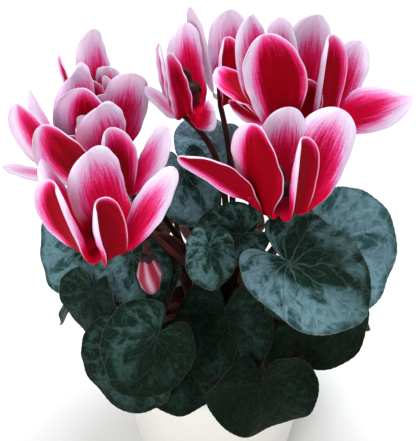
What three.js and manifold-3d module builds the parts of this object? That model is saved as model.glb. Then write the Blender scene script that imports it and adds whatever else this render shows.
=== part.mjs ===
// A florist's cyclamen in its pot. Millimetres, +Z up, origin at the middle of the pot's flat base.
// The front of the plant looks along -Y. Angles are in degrees; an azimuth is 0 along +X and 90 along +Y.
import * as THREE from 'three';
import Module from 'manifold-3d';

const wasm = await Module();
wasm.setup();

// ---------------------------------------------------------------- driving sizes
const GAP = 0.3; // clearance between pieces that touch
const FOOT_GAP = 0.6; // and where a stem or stalk ends flat against a curved piece

const POT_HEIGHT = 100;
const POT_FOOT_RADIUS = 42;
const POT_RIM_RADIUS = 58;
const POT_WALL = 3.5;
const POT_BAND_HEIGHT = 15; // the thicker band under the rim
const POT_BAND_STEP = 2.2; // how far the band stands out
const POT_SIDES = 32;
const DRAIN_HOLES = 5;
const DRAIN_RADIUS = 5;
const DRAIN_RING_RADIUS = 24;

const SOIL_EDGE_HEIGHT = 86;
const SOIL_MIDDLE_HEIGHT = 90;

const TUBER_RADIUS = 23;
const TUBER_BOTTOM = 72;
const TUBER_TOP = 101;
const TUBER_SIDES = 16;
const CROWN_RADIUS = 11; // the flat crown that the flower stems stand on
const CROWN_STEM_RADIUS = 8; // ring on which they stand
const CROWN_STALK_RADIUS = 13; // ring from which the leaf stalks rise

const STALK_RADIUS = 1.7; // leaf stalk at the tuber
const STALK_TIP_RADIUS = 1.2;
const STALK_STEPS = 6;
const STALK_SIDES = 4;
const STALK_TURN = 20; // how far below the blade it turns to meet it

const STEM_RADIUS = 1.8; // flower stem at the crown
const STEM_TIP_RADIUS = 1.25;
const STEM_RISE = 60; // how high a flower stem stands up before it leans out
const STEM_DROP = 36; // how far below its bloom it has straightened again
const STEM_STEPS = 7;
const STEM_SIDES = 5;
const HOOK_RADIUS = 4; // bend at the top of a flower stem
const HOOK_DEPTH = 7; // how far below the mouth a stem enters between two petals
const CALYX_RADIUS = 3.7;
const CALYX_HEIGHT = 3.6;

const THROAT_RADIUS = 3.4; // mouth of the short tube that joins the petals
const THROAT_WALL = 2.4; // fleshy, so that the claws root well in it
const THROAT_HEIGHT = 8;

const PETAL_THICKNESS = 0.8;
const PETAL_CLAW = 9; // the narrow part that curls round the mouth
const PETAL_CLAW_HALF_WIDTH = 1.6;
const PETAL_CUP = 18; // how far the margins bend away from the middle of the bloom
const PETAL_WIDEST = 0.6; // share of the length at which a petal is widest
const PETAL = { long: 46, wide: 13, twist: -35, arch: 0 };

const BLADE_THICKNESS = 0.8;
const LEAF = { tip: 0.74, half: 0.54, lobe: 0.46, fold: 0.08, arch: 0.1, wave: 1.6, rise: 38, sway: 0 };
const FRONT_LEAVES = 17; // the leaves that face the front come first in the list
const LEAF_WAVES = 4; // waves round the margin
const SINUS_WIDTH = 14; // half width of the notch, in degrees
const SINUS_DEPTH = 0.74;

// ---------------------------------------------------------------- where things stand
// Leaf blades: the point where the stalk meets the blade, the way the tip heads, how far and toward
// which side the blade is tilted, and the blade's size. The first ones face the front.
const LEAVES = [
  { at: [59, -4, 159], head: 350, tilt: 50, toward: 310, size: 58, half: 0.56, lobe: 0.41, fold: 0.3, rise: 34, sway: -2 },
  { at: [35, -53, 191], head: 320, tilt: 34, toward: 280, size: 55, half: 0.46, lobe: 0.44, fold: 0.3, rise: 26, sway: 10 },
  { at: [-3, -29, 179], head: 270, tilt: 40, toward: 265, size: 26, half: 0.45, lobe: 0.5, fold: 0.3, rise: 40, sway: -12 },
  { at: [12, -10, 172], head: 200, tilt: 30, toward: 250, size: 34, half: 0.5, lobe: 0.48, fold: 0.3 },
  { at: [-16, 23, 185], head: 270, tilt: 46, toward: 255, size: 36, half: 0.4, rise: 34, sway: -8 },
  { at: [1, 50, 184], head: 155, tilt: 40, toward: 255, size: 33, half: 0.38, lobe: 0.52, rise: 64 },
  { at: [33, -5, 191], head: 325, tilt: 34, toward: 290, size: 23 },
  { at: [-67, -10, 162], head: 190, tilt: 58, toward: 230, size: 44 },
  { at: [-42, -25, 171], head: 270, tilt: 42, toward: 260, size: 38, half: 0.48, rise: 24, sway: -16 },
  { at: [-62, -38, 157], head: 230, tilt: 76, toward: 230, size: 35, half: 0.55, lobe: 0.4, rise: 26, sway: -4 },
  { at: [-29, -72, 161], head: 237, tilt: 56, toward: 255, size: 43, half: 0.53, lobe: 0.38, sway: -10 },
  { at: [-44, -63, 138], head: 245, tilt: 82, toward: 245, size: 47, half: 0.52, lobe: 0.51, rise: 58, sway: -6 },
  { at: [-18, -53, 128], head: 270, tilt: 58, toward: 270, size: 41, half: 0.56, rise: 22, sway: -2 },
  { at: [-28, -22, 161], head: 220, tilt: 60, toward: 220, size: 31, half: 0.5, lobe: 0.36, rise: 36, sway: -2 },
  { at: [23, -71, 125], head: 280, tilt: 82, toward: 280, size: 42, half: 0.68, lobe: 0.5,
    rise: 28, sway: 8, wave: 4 },
  { at: [43, -45, 144], head: 345, tilt: 70, toward: 290, size: 52, half: 0.49, lobe: 0.49,
    rise: 22, sway: 14, wave: 3 },
  { at: [4, -45, 147], head: 260, tilt: 48, toward: 260, size: 46, rise: 22 },
  { at: [-55, 28, 153], head: 150, tilt: 36, toward: 150, size: 58, rise: 48, sway: -4 },
  { at: [-24, 51, 146], head: 110, tilt: 20, toward: 110, size: 55, rise: 24, sway: 2 },
  { at: [21, 61, 149], head: 75, tilt: 22, toward: 75, size: 57, rise: 14, sway: -2 },
  { at: [59, 41, 158], head: 35, tilt: 46, toward: 35, size: 58, rise: 26 },
  { at: [-66, 14, 128], head: 170, tilt: 56, toward: 170, size: 54, rise: 30 },
  { at: [-42, 50, 119], head: 130, tilt: 68, toward: 130, size: 46 },
  { at: [3, 67, 117], head: 90, tilt: 64, toward: 90, size: 48, rise: 10 },
  { at: [52, 63, 113], head: 50, tilt: 68, toward: 50, size: 52, rise: 12, sway: -4 },
  { at: [70, 15, 125], head: 10, tilt: 70, toward: 10, size: 52, rise: 46 },
];

// Blooms: the mouth of the flower, how far and toward which side its axis tilts, the gap between two
// petals that its stem comes up through, and five petals by azimuth round the axis. sway, rise and drop
// shape the bend of the stem. lean is how far a petal falls away from the axis; arch bends it back
// (plus) or out (minus) toward its tip.
const BLOOMS = [
  { at: [-64, 58, 206], tilt: 4, toward: 180, gap: 135, sway: -14, petals: [
    { az: 85, lean: 10, long: 41, wide: 11, twist: -45 },
    { az: 330, lean: 1, long: 24, wide: 8, twist: -70 },
    { az: 180, lean: 8, long: 36, wide: 5 },
    { az: 265, lean: 12, long: 30, wide: 10, twist: -40 },
    { az: 62, lean: 16, long: 20, wide: 10 }] },
  { at: [-58, 23, 206], tilt: 17, toward: 250, gap: 345, petals: [
    { az: 130, lean: 13, long: 49, wide: 18, twist: -20, arch: 20 },
    { az: 35, lean: 20, long: 44, twist: -65 },
    { az: 230, lean: -10, long: 49, wide: 18, twist: -20 },
    { az: 295, lean: 9, long: 34, wide: 10 },
    { az: 80, lean: 0, long: 30, wide: 9 }] },
  { at: [-50, -19, 217], tilt: 7, toward: 185, gap: 40, petals: [
    { az: 95, lean: -5, long: 44, wide: 15, arch: 10 },
    { az: 295, lean: 6, long: 41, wide: 11, twist: -10, arch: 5 },
    { az: 345, lean: 30, long: 44, wide: 10, twist: -40, arch: -5 },
    { az: 215, lean: 22, long: 54, wide: 15, twist: -45, arch: 5 },
    { az: 155, lean: 10, long: 30, wide: 9 }] },
  { at: [-70, 2, 210], tilt: 11, toward: 160, gap: 337, petals: [
    { az: 195, lean: 14, wide: 11, twist: -55, arch: 5 },
    { az: 135, lean: 16, long: 42, wide: 11, twist: -45, arch: -5 },
    { az: 190, lean: 62, long: 30, wide: 5, twist: -75 },
    { az: 285, lean: 4, long: 26, wide: 8 },
    { az: 35, lean: 3, long: 26, wide: 8, twist: -40 }] },
  { at: [-51, -62, 214], tilt: 12, toward: 165, gap: 337, sway: -12, rise: 107, drop: 12, petals: [
    { az: 75, lean: 5, long: 47, wide: 17, twist: -60, arch: 10 },
    { az: 145, lean: 20, long: 47, wide: 12, twist: -30 },
    { az: 205, lean: 19, long: 47, twist: -30, arch: 25 },
    { az: 290, lean: 14, long: 41, wide: 11, twist: -30 },
    { az: 20, lean: 44, long: 43, wide: 8, twist: -50, arch: -5 }] },
  { at: [-12, 30, 227], tilt: 22, toward: 105, gap: 145, sway: -15, rise: 95, drop: 17, petals: [
    { az: 90, lean: 4, long: 42, wide: 12 },
    { az: 190, lean: 8, long: 36, wide: 11, twist: 0, arch: 5 },
    { az: 245, lean: 19, long: 36, wide: 8, twist: -75 },
    { az: 195, lean: 40, long: 22, wide: 4, twist: -70 },
    { az: 295, lean: 73, long: 20, wide: 8, twist: -80, arch: 5 }] },
  { at: [8, 56, 217], tilt: 6, toward: 125, gap: 222, sway: -6, petals: [
    { az: 85, lean: 3, long: 44, twist: -30 },
    { az: 170, lean: 10, long: 52, wide: 5, twist: -75 },
    { az: 265, lean: -9, long: 36, wide: 9, twist: -30, arch: 5 },
    { az: 340, lean: 10, long: 34, wide: 10 },
    { az: 30, lean: 10, long: 38, wide: 10, twist: -30 }] },
  { at: [28, 4, 242], tilt: 11, toward: 170, gap: 355, sway: 8, petals: [
    { az: 120, lean: 67, long: 45, wide: 12, twist: -20, arch: -28 },
    { az: 285, lean: -1, long: 47, wide: 16, twist: -5, arch: 10 },
    { az: 115, lean: 3, long: 50, wide: 14, twist: -30, arch: 5 },
    { az: 60, lean: 12, long: 44, wide: 9 },
    { az: 135, lean: 97, long: 26, wide: 9, twist: -75, arch: 5 }] },
  { at: [49, 31, 220], tilt: 10, toward: 50, gap: 172, sway: 4, petals: [
    { az: 110, lean: 7, long: 52, wide: 17, twist: -10, arch: 5 },
    { az: 290, lean: 3, long: 50, wide: 12, twist: -20, arch: 15 },
    { az: 40, lean: 24, long: 43, wide: 12 },
    { az: 5, lean: 63, wide: 12, twist: -55, arch: -5 },
    { az: 235, lean: 2, long: 26, wide: 10 }] },
  { at: [30, -40, 220], tilt: 10, toward: 70, gap: 140, sway: 26, petals: [
    { az: 190, lean: 29, long: 52, wide: 11, twist: -50, arch: -50 },
    { az: 215, lean: 10, long: 50, wide: 14, twist: -25, arch: -5 },
    { az: 90, lean: 3, wide: 14, twist: -20 },
    { az: 310, lean: 5, long: 41, wide: 11, twist: -5, arch: 10 },
    { az: 35, lean: 26, long: 50, wide: 16, twist: -50 }] },
];

// Buds: the top of the furled petals, the way they point, and how long they are.
const BUDS = [
  { at: [-33, -51, 195], tilt: 176, toward: 0, long: 25, wide: 6.5, bend: 300, sway: 14 },
];

// ---------------------------------------------------------------- small helpers
const rad = THREE.MathUtils.degToRad;
const vec = (x, y, z) => new THREE.Vector3(x, y, z);
const clamp01 = (x) => Math.min(Math.max(x, 0), 1);
const smooth = (x) => clamp01(x) ** 2 * (3 - 2 * clamp01(x));
const around = (azimuth) => vec(Math.cos(rad(azimuth)), Math.sin(rad(azimuth)), 0);
const sum = (start, ...terms) => terms.reduce((p, [v, k]) => p.addScaledVector(v, k), start.clone());

// Direction tilted from straight up by tilt, toward an azimuth.
const tilted = (tilt, toward) => sum(vec(0, 0, Math.cos(rad(tilt))), [around(toward), Math.sin(rad(tilt))]);

// Closed geometry from a list of points and a list of triangles.
function geometryOf({ points, triangles }) {
  const geometry = new THREE.BufferGeometry();
  geometry.setAttribute('position', new THREE.Float32BufferAttribute(points.flatMap((p) => p.toArray()), 3));
  geometry.setIndex(triangles.flat());
  geometry.computeVertexNormals();
  return geometry;
}

// The same as a solid that can be joined and cut.
function solidOf({ points, triangles }) {
  const vertProperties = new Float32Array(points.flatMap((p) => p.toArray()));
  const triVerts = new Uint32Array(triangles.flat());
  return new wasm.Manifold(new wasm.Mesh({ numProp: 3, vertProperties, triVerts }));
}

function geometryOfSolid(solid) {
  const { vertProperties, triVerts } = solid.getMesh();
  const geometry = new THREE.BufferGeometry();
  geometry.setAttribute('position', new THREE.Float32BufferAttribute(vertProperties, 3));
  geometry.setIndex(Array.from(triVerts));
  geometry.computeVertexNormals();
  return geometry;
}

// Body turned round the Z axis from a closed outline of [radius, height] points, listed anticlockwise
// seen with the radius to the right. Points on the axis become a single point.
function turned(outline, sides) {
  const points = [];
  const rings = outline.map(([radius, height]) => {
    const start = points.length;
    const count = radius === 0 ? 1 : sides;
    for (let i = 0; i < count; i += 1) {
      points.push(sum(vec(0, 0, height), [around((360 * i) / sides), radius]));
    }
    return (i) => start + (i % count);
  });
  const triangles = [];
  rings.forEach((ring, k) => {
    const next = rings[(k + 1) % rings.length];
    const [onAxis, nextOnAxis] = [outline[k][0] === 0, outline[(k + 1) % rings.length][0] === 0];
    for (let i = 0; i < sides; i += 1) {
      if (!onAxis) triangles.push([ring(i), ring(i + 1), next(i)]);
      if (!nextOnAxis) triangles.push([ring(i + 1), next(i + 1), next(i)]);
    }
  });
  return { points, triangles };
}

// Round rod along a path, with one radius per path point and flat ends. Each ring is square to the
// path, and its first point is carried along without twisting.
function rod(path, radii, sides) {
  const points = [];
  let side = vec(1, 0, 0);
  path.forEach((p, k) => {
    const along = sum(path[Math.min(k + 1, path.length - 1)], [path[Math.max(k - 1, 0)], -1]).normalize();
    side = sum(side, [along, -side.dot(along)]).normalize();
    const up = along.clone().cross(side);
    for (let i = 0; i < sides; i += 1) {
      const a = (2 * Math.PI * i) / sides;
      points.push(sum(p, [side, radii[k] * Math.cos(a)], [up, radii[k] * Math.sin(a)]));
    }
  });
  const triangles = [];
  for (let k = 0; k < path.length - 1; k += 1) {
    for (let i = 0; i < sides; i += 1) {
      const [a, b] = [k * sides + i, k * sides + ((i + 1) % sides)];
      triangles.push([a, b, a + sides], [b, b + sides, a + sides]);
    }
  }
  const last = (path.length - 1) * sides;
  for (let i = 1; i < sides - 1; i += 1) {
    triangles.push([0, i + 1, i], [last, last + i, last + i + 1]);
  }
  return { points, triangles };
}

// Points of a cubic curve, both ends included.
function curve(start, first, second, end, steps) {
  return new THREE.CubicBezierCurve3(start, first, second, end).getPoints(steps);
}

// ---------------------------------------------------------------- pot, soil
function potSolid() {
  const lip = POT_RIM_RADIUS;
  const inner = lip - POT_WALL - POT_BAND_STEP;
  const bandBottom = POT_HEIGHT - POT_BAND_HEIGHT;
  const outside = [[0, 0], [POT_FOOT_RADIUS - 1, 0], [POT_FOOT_RADIUS, 1], [lip - POT_BAND_STEP - 1, bandBottom - 1],
    [lip, bandBottom + 1], [lip, POT_HEIGHT - 1], [lip - 1, POT_HEIGHT]];
  const inside = [[inner + 0.5, POT_HEIGHT], [inner, POT_HEIGHT - 1], [potInside(POT_WALL), POT_WALL], [0, POT_WALL]];
  let pot = solidOf(turned([...outside, ...inside], POT_SIDES));
  for (let i = 0; i < DRAIN_HOLES; i += 1) {
    const centre = around((360 * (i + 0.5)) / DRAIN_HOLES).multiplyScalar(DRAIN_RING_RADIUS);
    const hole = rod([sum(centre, [vec(0, 0, 1), -1]), sum(centre, [vec(0, 0, 1), POT_WALL + 1])],
      [DRAIN_RADIUS, DRAIN_RADIUS], 8);
    pot = pot.subtract(solidOf(hole));
  }
  return pot;
}

// Radius of the pot's inner wall at a height.
function potInside(height) {
  const top = POT_RIM_RADIUS - POT_WALL - POT_BAND_STEP;
  const bottom = POT_FOOT_RADIUS - POT_WALL;
  return bottom + ((top - bottom) * (height - POT_WALL)) / (POT_HEIGHT - 1 - POT_WALL);
}

// Outline of the tuber, grown all round by a margin.
function tuberOutline(margin) {
  const [r, low, high] = [TUBER_RADIUS + margin, TUBER_BOTTOM - margin, TUBER_TOP + margin];
  return [[0, low], [r * 0.6, low + 1], [r * 0.95, low + 8], [r, low + 15], [r * 0.8, high - 5],
    [CROWN_RADIUS + margin, high], [0, high]];
}

function soilSolid() {
  const floor = POT_WALL + GAP;
  const outline = [[0, floor], [potInside(floor) - GAP, floor], [potInside(SOIL_EDGE_HEIGHT) - GAP, SOIL_EDGE_HEIGHT],
    [40, SOIL_EDGE_HEIGHT + 1.5], [TUBER_RADIUS, SOIL_MIDDLE_HEIGHT], [0, SOIL_MIDDLE_HEIGHT]];
  return solidOf(turned(outline, POT_SIDES)).subtract(solidOf(turned(tuberOutline(GAP), TUBER_SIDES)));
}

// ---------------------------------------------------------------- leaves
// Blade frame: x toward the tip, z out of the upper face, both at the stalk's end.
function leafFrame({ head, tilt, toward }) {
  const z = tilted(tilt, toward);
  const x = sum(around(head), [z, -z.dot(around(head))]).normalize();
  return { x, y: z.clone().cross(x), z };
}

// How much of the blade is left at an angle from the tip: 1, but little at the notch opposite the tip.
function leafNotch(angle) {
  return 1 - SINUS_DEPTH * Math.exp(-(((180 - Math.abs(angle)) / SINUS_WIDTH) ** 2));
}

// Distance from the stalk's end to the margin, as a share of the size: long at the tip and narrower at
// the sides.
function leafReach(leaf, angle) {
  const c = Math.cos(rad(angle));
  const spread = leaf.half + (leaf.tip - leaf.half) * Math.max(c, 0) ** 1.5 + (leaf.lobe - leaf.half) * Math.max(-c, 0);
  return spread * leafNotch(angle);
}

// A point of the blade's middle surface: folded up a little along the midrib, arched down toward the
// tip, and waved at the margin.
function leafPoint(leaf, frame, share, angle) {
  const reach = share * leafReach(leaf, angle) * leaf.size;
  const [x, y] = [reach * Math.cos(rad(angle)), reach * Math.sin(rad(angle))];
  const crease = 0.08 * leaf.size;
  const wave = leaf.wave * (share * leafNotch(angle)) ** 2;
  const z = leaf.fold * (Math.hypot(y, crease) - crease) - (leaf.arch * x * x) / leaf.size
    + wave * Math.sin(rad(LEAF_WAVES * angle + leaf.phase));
  return sum(vec(...leaf.at), [frame.x, x], [frame.y, y], [frame.z, z]);
}

const LEAF_ANGLES = [-172, -158, -136, -108, -80, -52, -26, 0, 26, 52, 80, 108, 136, 158, 172, 180];
const LEAF_SHARES = [0.35, 0.7, 1];
const PLAIN_LEAF_SHARES = [0.5, 1]; // for the leaves at the back

function leafBody(leaf) {
  const frame = leafFrame(leaf);
  const step = 0.02;
  const lift = (share, angle, k) => {
    const here = leafPoint(leaf, frame, share, angle);
    const out = sum(leafPoint(leaf, frame, share + step, angle), [here, -1]);
    const round = sum(leafPoint(leaf, frame, share, angle + 1), [leafPoint(leaf, frame, share, angle - 1), -1]);
    return sum(here, [out.cross(round).normalize(), k]);
  };
  const points = [];
  const faces = [BLADE_THICKNESS / 2, -BLADE_THICKNESS / 2].map((k) => {
    const middle = points.push(sum(vec(...leaf.at), [frame.z, k])) - 1;
    const rings = leaf.shares.map((share) => LEAF_ANGLES.map((a) => points.push(lift(share, a, k)) - 1));
    return { middle, rings };
  });
  const triangles = [];
  const count = LEAF_ANGLES.length;
  faces.forEach(({ middle, rings }, under) => {
    const add = (a, b, c) => triangles.push(under ? [a, c, b] : [a, b, c]);
    for (let i = 0; i < count; i += 1) {
      const j = (i + 1) % count;
      add(middle, rings[0][i], rings[0][j]);
      for (let k = 0; k < rings.length - 1; k += 1) {
        add(rings[k][i], rings[k + 1][i], rings[k + 1][j]);
        add(rings[k][i], rings[k + 1][j], rings[k][j]);
      }
    }
  });
  const [top, under] = faces.map(({ rings }) => rings[rings.length - 1]);
  for (let i = 0; i < count; i += 1) {
    const j = (i + 1) % count;
    triangles.push([top[i], under[i], under[j]], [top[i], under[j], top[j]]);
  }
  return { points, triangles };
}

// Leaf stalk: out of the tuber's shoulder, up, and into the blade from below.
function stalkBody(leaf) {
  const { z } = leafFrame(leaf);
  const end = sum(vec(...leaf.at), [z, -(BLADE_THICKNESS / 2 + FOOT_GAP)]);
  const outward = vec(end.x, end.y, 0).normalize();
  const sideways = vec(0, 0, 1).cross(outward);
  const start = sum(vec(0, 0, TUBER_TOP - 6), [outward, CROWN_STALK_RADIUS - 1]);
  const first = sum(start, [vec(0, 0, 1), leaf.rise], [outward, 6], [sideways, leaf.sway]);
  const path = curve(start, first, sum(end, [z, -STALK_TURN], [sideways, leaf.sway]), end, STALK_STEPS);
  const radii = path.map((p, k) => STALK_RADIUS + ((STALK_TIP_RADIUS - STALK_RADIUS) * k) / (path.length - 1));
  return rod(path, radii, STALK_SIDES);
}

// ---------------------------------------------------------------- blooms
// Axes of a bloom: up along its axis, and two square to it.
function bloomFrame({ tilt, toward }) {
  const up = tilted(tilt, toward);
  const right = sum(vec(1, 0, 0), [up, -up.x]).normalize();
  return { up, right, back: up.clone().cross(right) };
}

const PETAL_ROWS = [0, 0.08, 0.155, 0.23, 0.5, 0.78, 0.985];
const PETAL_COLUMNS = [-1, -0.4, 0.4, 1];

// Middle line of a petal: down out of the mouth, round, and up along its lean, as points with their
// out and side directions.
function petalLine(bloom, petal) {
  const { up, right, back } = bloomFrame(bloom);
  const r = sum(vec(0, 0, 0), [right, Math.cos(rad(petal.az))], [back, Math.sin(rad(petal.az))]);
  const left = sum(vec(0, 0, 0), [right, -Math.sin(rad(petal.az))], [back, Math.cos(rad(petal.az))]);
  const length = petal.long + PETAL_CLAW;
  const steps = 200;
  let at = sum(vec(...bloom.at), [r, THROAT_RADIUS]);
  const line = [];
  for (let i = 0; i <= steps; i += 1) {
    const share = i / steps;
    const run = share * length;
    const past = clamp01((run - PETAL_CLAW) / petal.long);
    const heading = rad(-90 + (180 - petal.lean) * smooth(run / (PETAL_CLAW + 4)) + petal.arch * past);
    const turn = rad(petal.twist * smooth(share / 0.5));
    const out = sum(vec(0, 0, 0), [r, Math.sin(heading)], [up, -Math.cos(heading)]);
    line.push({
      at,
      side: sum(vec(0, 0, 0), [left, Math.cos(turn)], [out, Math.sin(turn)]),
      out: sum(vec(0, 0, 0), [out, Math.cos(turn)], [left, -Math.sin(turn)]),
    });
    at = sum(at, [r, (Math.cos(heading) * length) / steps], [up, (Math.sin(heading) * length) / steps]);
  }
  return (share) => line[Math.round(share * steps)];
}

// Half width of a petal at a share of its length: a narrow claw, a broad blade and a round tip.
function petalHalfWidth(petal, share) {
  const rise = (0.5 * (1 - Math.cos(Math.PI * Math.min(share / PETAL_WIDEST, 1)))) ** 1.05;
  const past = Math.max((share - PETAL_WIDEST) / (1 - PETAL_WIDEST), 0);
  return (PETAL_CLAW_HALF_WIDTH + (petal.wide - PETAL_CLAW_HALF_WIDTH) * rise) * Math.sqrt(1 - past ** 2);
}

// One petal: each row is an arc across the middle line, and its margins bend outward.
function petalBody(bloom, petal) {
  const lineAt = petalLine(bloom, petal);
  const cup = rad(PETAL_CUP);
  const points = [];
  const faces = [PETAL_THICKNESS / 2, -PETAL_THICKNESS / 2].map((k) => PETAL_ROWS.map((share) => {
    const { at, side, out } = lineAt(share);
    const half = petalHalfWidth(petal, share);
    return PETAL_COLUMNS.map((t) => {
      const across = (Math.sin(cup * t) / cup) * half;
      const depth = ((1 - Math.cos(cup * t)) / cup) * half;
      const normal = sum(vec(0, 0, 0), [out, Math.cos(cup * t)], [side, -Math.sin(cup * t)]);
      return points.push(sum(at, [side, across], [out, depth], [normal, k])) - 1;
    });
  }));
  return closedSheet(points, faces);
}

// Closes two matching grids of points, the outer face and the inner one, into one thin body.
function closedSheet(points, [outer, inner]) {
  const triangles = [];
  const [rows, columns] = [outer.length, outer[0].length];
  const quad = (a, b, c, d) => triangles.push([a, b, c], [a, c, d]);
  for (let i = 0; i < rows - 1; i += 1) {
    for (let j = 0; j < columns - 1; j += 1) {
      quad(outer[i][j], outer[i][j + 1], outer[i + 1][j + 1], outer[i + 1][j]);
      triangles.push([inner[i][j], inner[i + 1][j + 1], inner[i][j + 1]]);
      triangles.push([inner[i][j], inner[i + 1][j], inner[i + 1][j + 1]]);
    }
    quad(outer[i][0], outer[i + 1][0], inner[i + 1][0], inner[i][0]);
    quad(outer[i + 1][columns - 1], outer[i][columns - 1], inner[i][columns - 1], inner[i + 1][columns - 1]);
  }
  for (let j = 0; j < columns - 1; j += 1) {
    quad(outer[0][j + 1], outer[0][j], inner[0][j], inner[0][j + 1]);
    quad(outer[rows - 1][j], outer[rows - 1][j + 1], inner[rows - 1][j + 1], inner[rows - 1][j]);
  }
  return { points, triangles };
}

// Places a body that was made round the Z axis on a bloom's axis.
function onBloom(bloom, body) {
  const { up, right, back } = bloomFrame(bloom);
  const place = (p) => sum(vec(...bloom.at), [right, p.x], [back, p.y], [up, p.z]);
  return { points: body.points.map(place), triangles: body.triangles };
}

// Short tube that joins the petals, open at the mouth and closed at the top.
function throatBody(bloom) {
  const [inner, outer, top] = [THROAT_RADIUS - THROAT_WALL / 2, THROAT_RADIUS + THROAT_WALL / 2, THROAT_HEIGHT];
  const outline = [[inner, -1], [outer, -1], [outer + 0.6, top * 0.5], [outer * 0.7, top], [0, top],
    [0, top * 0.6], [inner, top * 0.5]];
  return onBloom(bloom, turned(outline, 8));
}

function bloomSolid(bloom) {
  return bloom.petals.reduce(
    (solid, petal) => solid.add(solidOf(petalBody(bloom, { ...PETAL, ...petal }))),
    solidOf(throatBody(bloom)),
  );
}

// Flower stem: up from the crown, in between two petals, over in a hook, and down into the calyx that
// sits on the throat. The calyx is the rod's flared end.
function stemBody(bloom, standAzimuth) {
  const { up, right, back } = bloomFrame(bloom);
  const mouth = vec(...bloom.at);
  const gapSide = sum(vec(0, 0, 0), [right, Math.cos(rad(bloom.gap))], [back, Math.sin(rad(bloom.gap))]);
  const start = sum(vec(0, 0, TUBER_TOP + FOOT_GAP), [around(standAzimuth), CROWN_STEM_RADIUS]);
  const entry = sum(mouth, [gapSide, 2 * HOOK_RADIUS], [up, -HOOK_DEPTH]);
  const sideways = vec(0, 0, 1).cross(vec(entry.x, entry.y, 0).normalize()).multiplyScalar(bloom.sway);
  const first = sum(start, [vec(0, 0, 1), bloom.rise ?? STEM_RISE], [sideways, 1]);
  const path = curve(start, first, sum(entry, [up, -(bloom.drop ?? STEM_DROP)], [sideways, 1]), entry, STEM_STEPS);
  const calyxFoot = THROAT_HEIGHT + GAP;
  const hookHeight = calyxFoot + CALYX_HEIGHT;
  for (let turn = 0; turn <= 180; turn += 45) {
    const swing = HOOK_RADIUS * (1 + Math.cos(rad(turn)));
    path.push(sum(mouth, [gapSide, swing], [up, hookHeight + HOOK_RADIUS * Math.sin(rad(turn))]));
  }
  const radii = path.map((p, k) => Math.max(STEM_RADIUS - 0.06 * k, STEM_TIP_RADIUS));
  path.push(sum(mouth, [up, hookHeight - 1.2]), sum(mouth, [up, calyxFoot]));
  radii.push(CALYX_RADIUS * 0.85, CALYX_RADIUS);
  return rod(path, radii, STEM_SIDES);
}

// ---------------------------------------------------------------- buds
// Furled petals: a spindle along the bud's axis, pointed at the far end.
function budBody(bud) {
  const { long, wide } = bud;
  const outline = [[0, 0], [wide * 0.62, 0.6], [wide, long * 0.28], [wide * 0.92, long * 0.5], [wide * 0.55, long * 0.8],
    [0, long]];
  return onBloom(bud, turned(outline, 10));
}

// The bud's stem bends over and ends in the calyx that holds the furled petals.
function budStemBody(bud, standAzimuth) {
  const { up } = bloomFrame(bud);
  const start = sum(vec(0, 0, TUBER_TOP + FOOT_GAP), [around(standAzimuth), CROWN_STEM_RADIUS]);
  const foot = sum(vec(...bud.at), [up, -GAP]);
  const neck = sum(foot, [up, -6]);
  const bend = sum(neck, [around(bud.bend), -14], [vec(0, 0, 1), 8]);
  const sideways = vec(0, 0, 1).cross(vec(bend.x, bend.y, 0).normalize());
  const first = sum(start, [vec(0, 0, 1), STEM_RISE * 0.7], [sideways, bud.sway]);
  const path = curve(start, first, sum(bend, [vec(0, 0, 1), -8], [sideways, bud.sway]), bend, 8);
  const radii = path.map((p, k) => STEM_RADIUS - 0.05 * k);
  const over = curve(bend, sum(bend, [vec(0, 0, 1), 7]), sum(neck, [up, -8]), neck, 4).slice(1);
  path.push(...over, sum(foot, [up, -2]), foot);
  radii.push(...over.map(() => STEM_TIP_RADIUS), bud.wide * 0.7, bud.wide * 0.62);
  return rod(path, radii, 6);
}

// ---------------------------------------------------------------- the plant
const group = new THREE.Group();
group.name = 'potted_cyclamen';

function add(name, geometry, colour, roughness) {
  const material = new THREE.MeshStandardMaterial({ color: colour, roughness, metalness: 0 });
  const mesh = new THREE.Mesh(geometry, material);
  mesh.name = name;
  group.add(mesh);
}

const numbered = (name, index) => `${name}_${String(index + 1).padStart(2, '0')}`;

const leaves = LEAVES.map((leaf, i) => {
  const shares = i < FRONT_LEAVES ? LEAF_SHARES : PLAIN_LEAF_SHARES;
  return { ...LEAF, phase: 40 * i, shares, ...leaf };
});
const blooms = BLOOMS.map((bloom) => ({ sway: 0, ...bloom }));
const tuber = leaves.reduce(
  (solid, leaf) => solid.add(solidOf(stalkBody(leaf))),
  solidOf(turned(tuberOutline(0), TUBER_SIDES)),
);

// The flower stems stand round the crown in the order in which their blooms lie round the plant.
const standing = [...blooms, ...BUDS];
const azimuthOf = ({ at, gap = 0 }) => {
  const entry = sum(vec(...at), [around(gap), 2 * HOOK_RADIUS]);
  return THREE.MathUtils.radToDeg(Math.atan2(entry.y, entry.x));
};
const ordered = [...standing].sort((a, b) => azimuthOf(a) - azimuthOf(b));
const standAzimuth = (item) => azimuthOf(ordered[0]) + (360 * ordered.indexOf(item)) / standing.length;

add('pot', geometryOfSolid(potSolid()), 0xe9e5de, 0.55);
add('soil', geometryOfSolid(soilSolid()), 0x3a2a1f, 1);
add('tuber', geometryOfSolid(tuber), 0x6b4a3a, 0.8);
leaves.forEach((leaf, i) => add(numbered('leaf', i), geometryOf(leafBody(leaf)), 0x35564a, 0.6));
blooms.forEach((bloom, i) => {
  add(numbered('bloom', i), geometryOfSolid(bloomSolid(bloom)), 0xc8143c, 0.5);
  add(numbered('flower_stem', i), geometryOf(stemBody(bloom, standAzimuth(bloom))), 0x5a2422, 0.6);
});
BUDS.forEach((bud, i) => {
  add(numbered('bud', i), geometryOf(budBody(bud)), 0xc04a68, 0.5);
  add(numbered('bud_stem', i), geometryOf(budStemBody(bud, standAzimuth(bud))), 0x5a2422, 0.6);
});

export default group;
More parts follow.
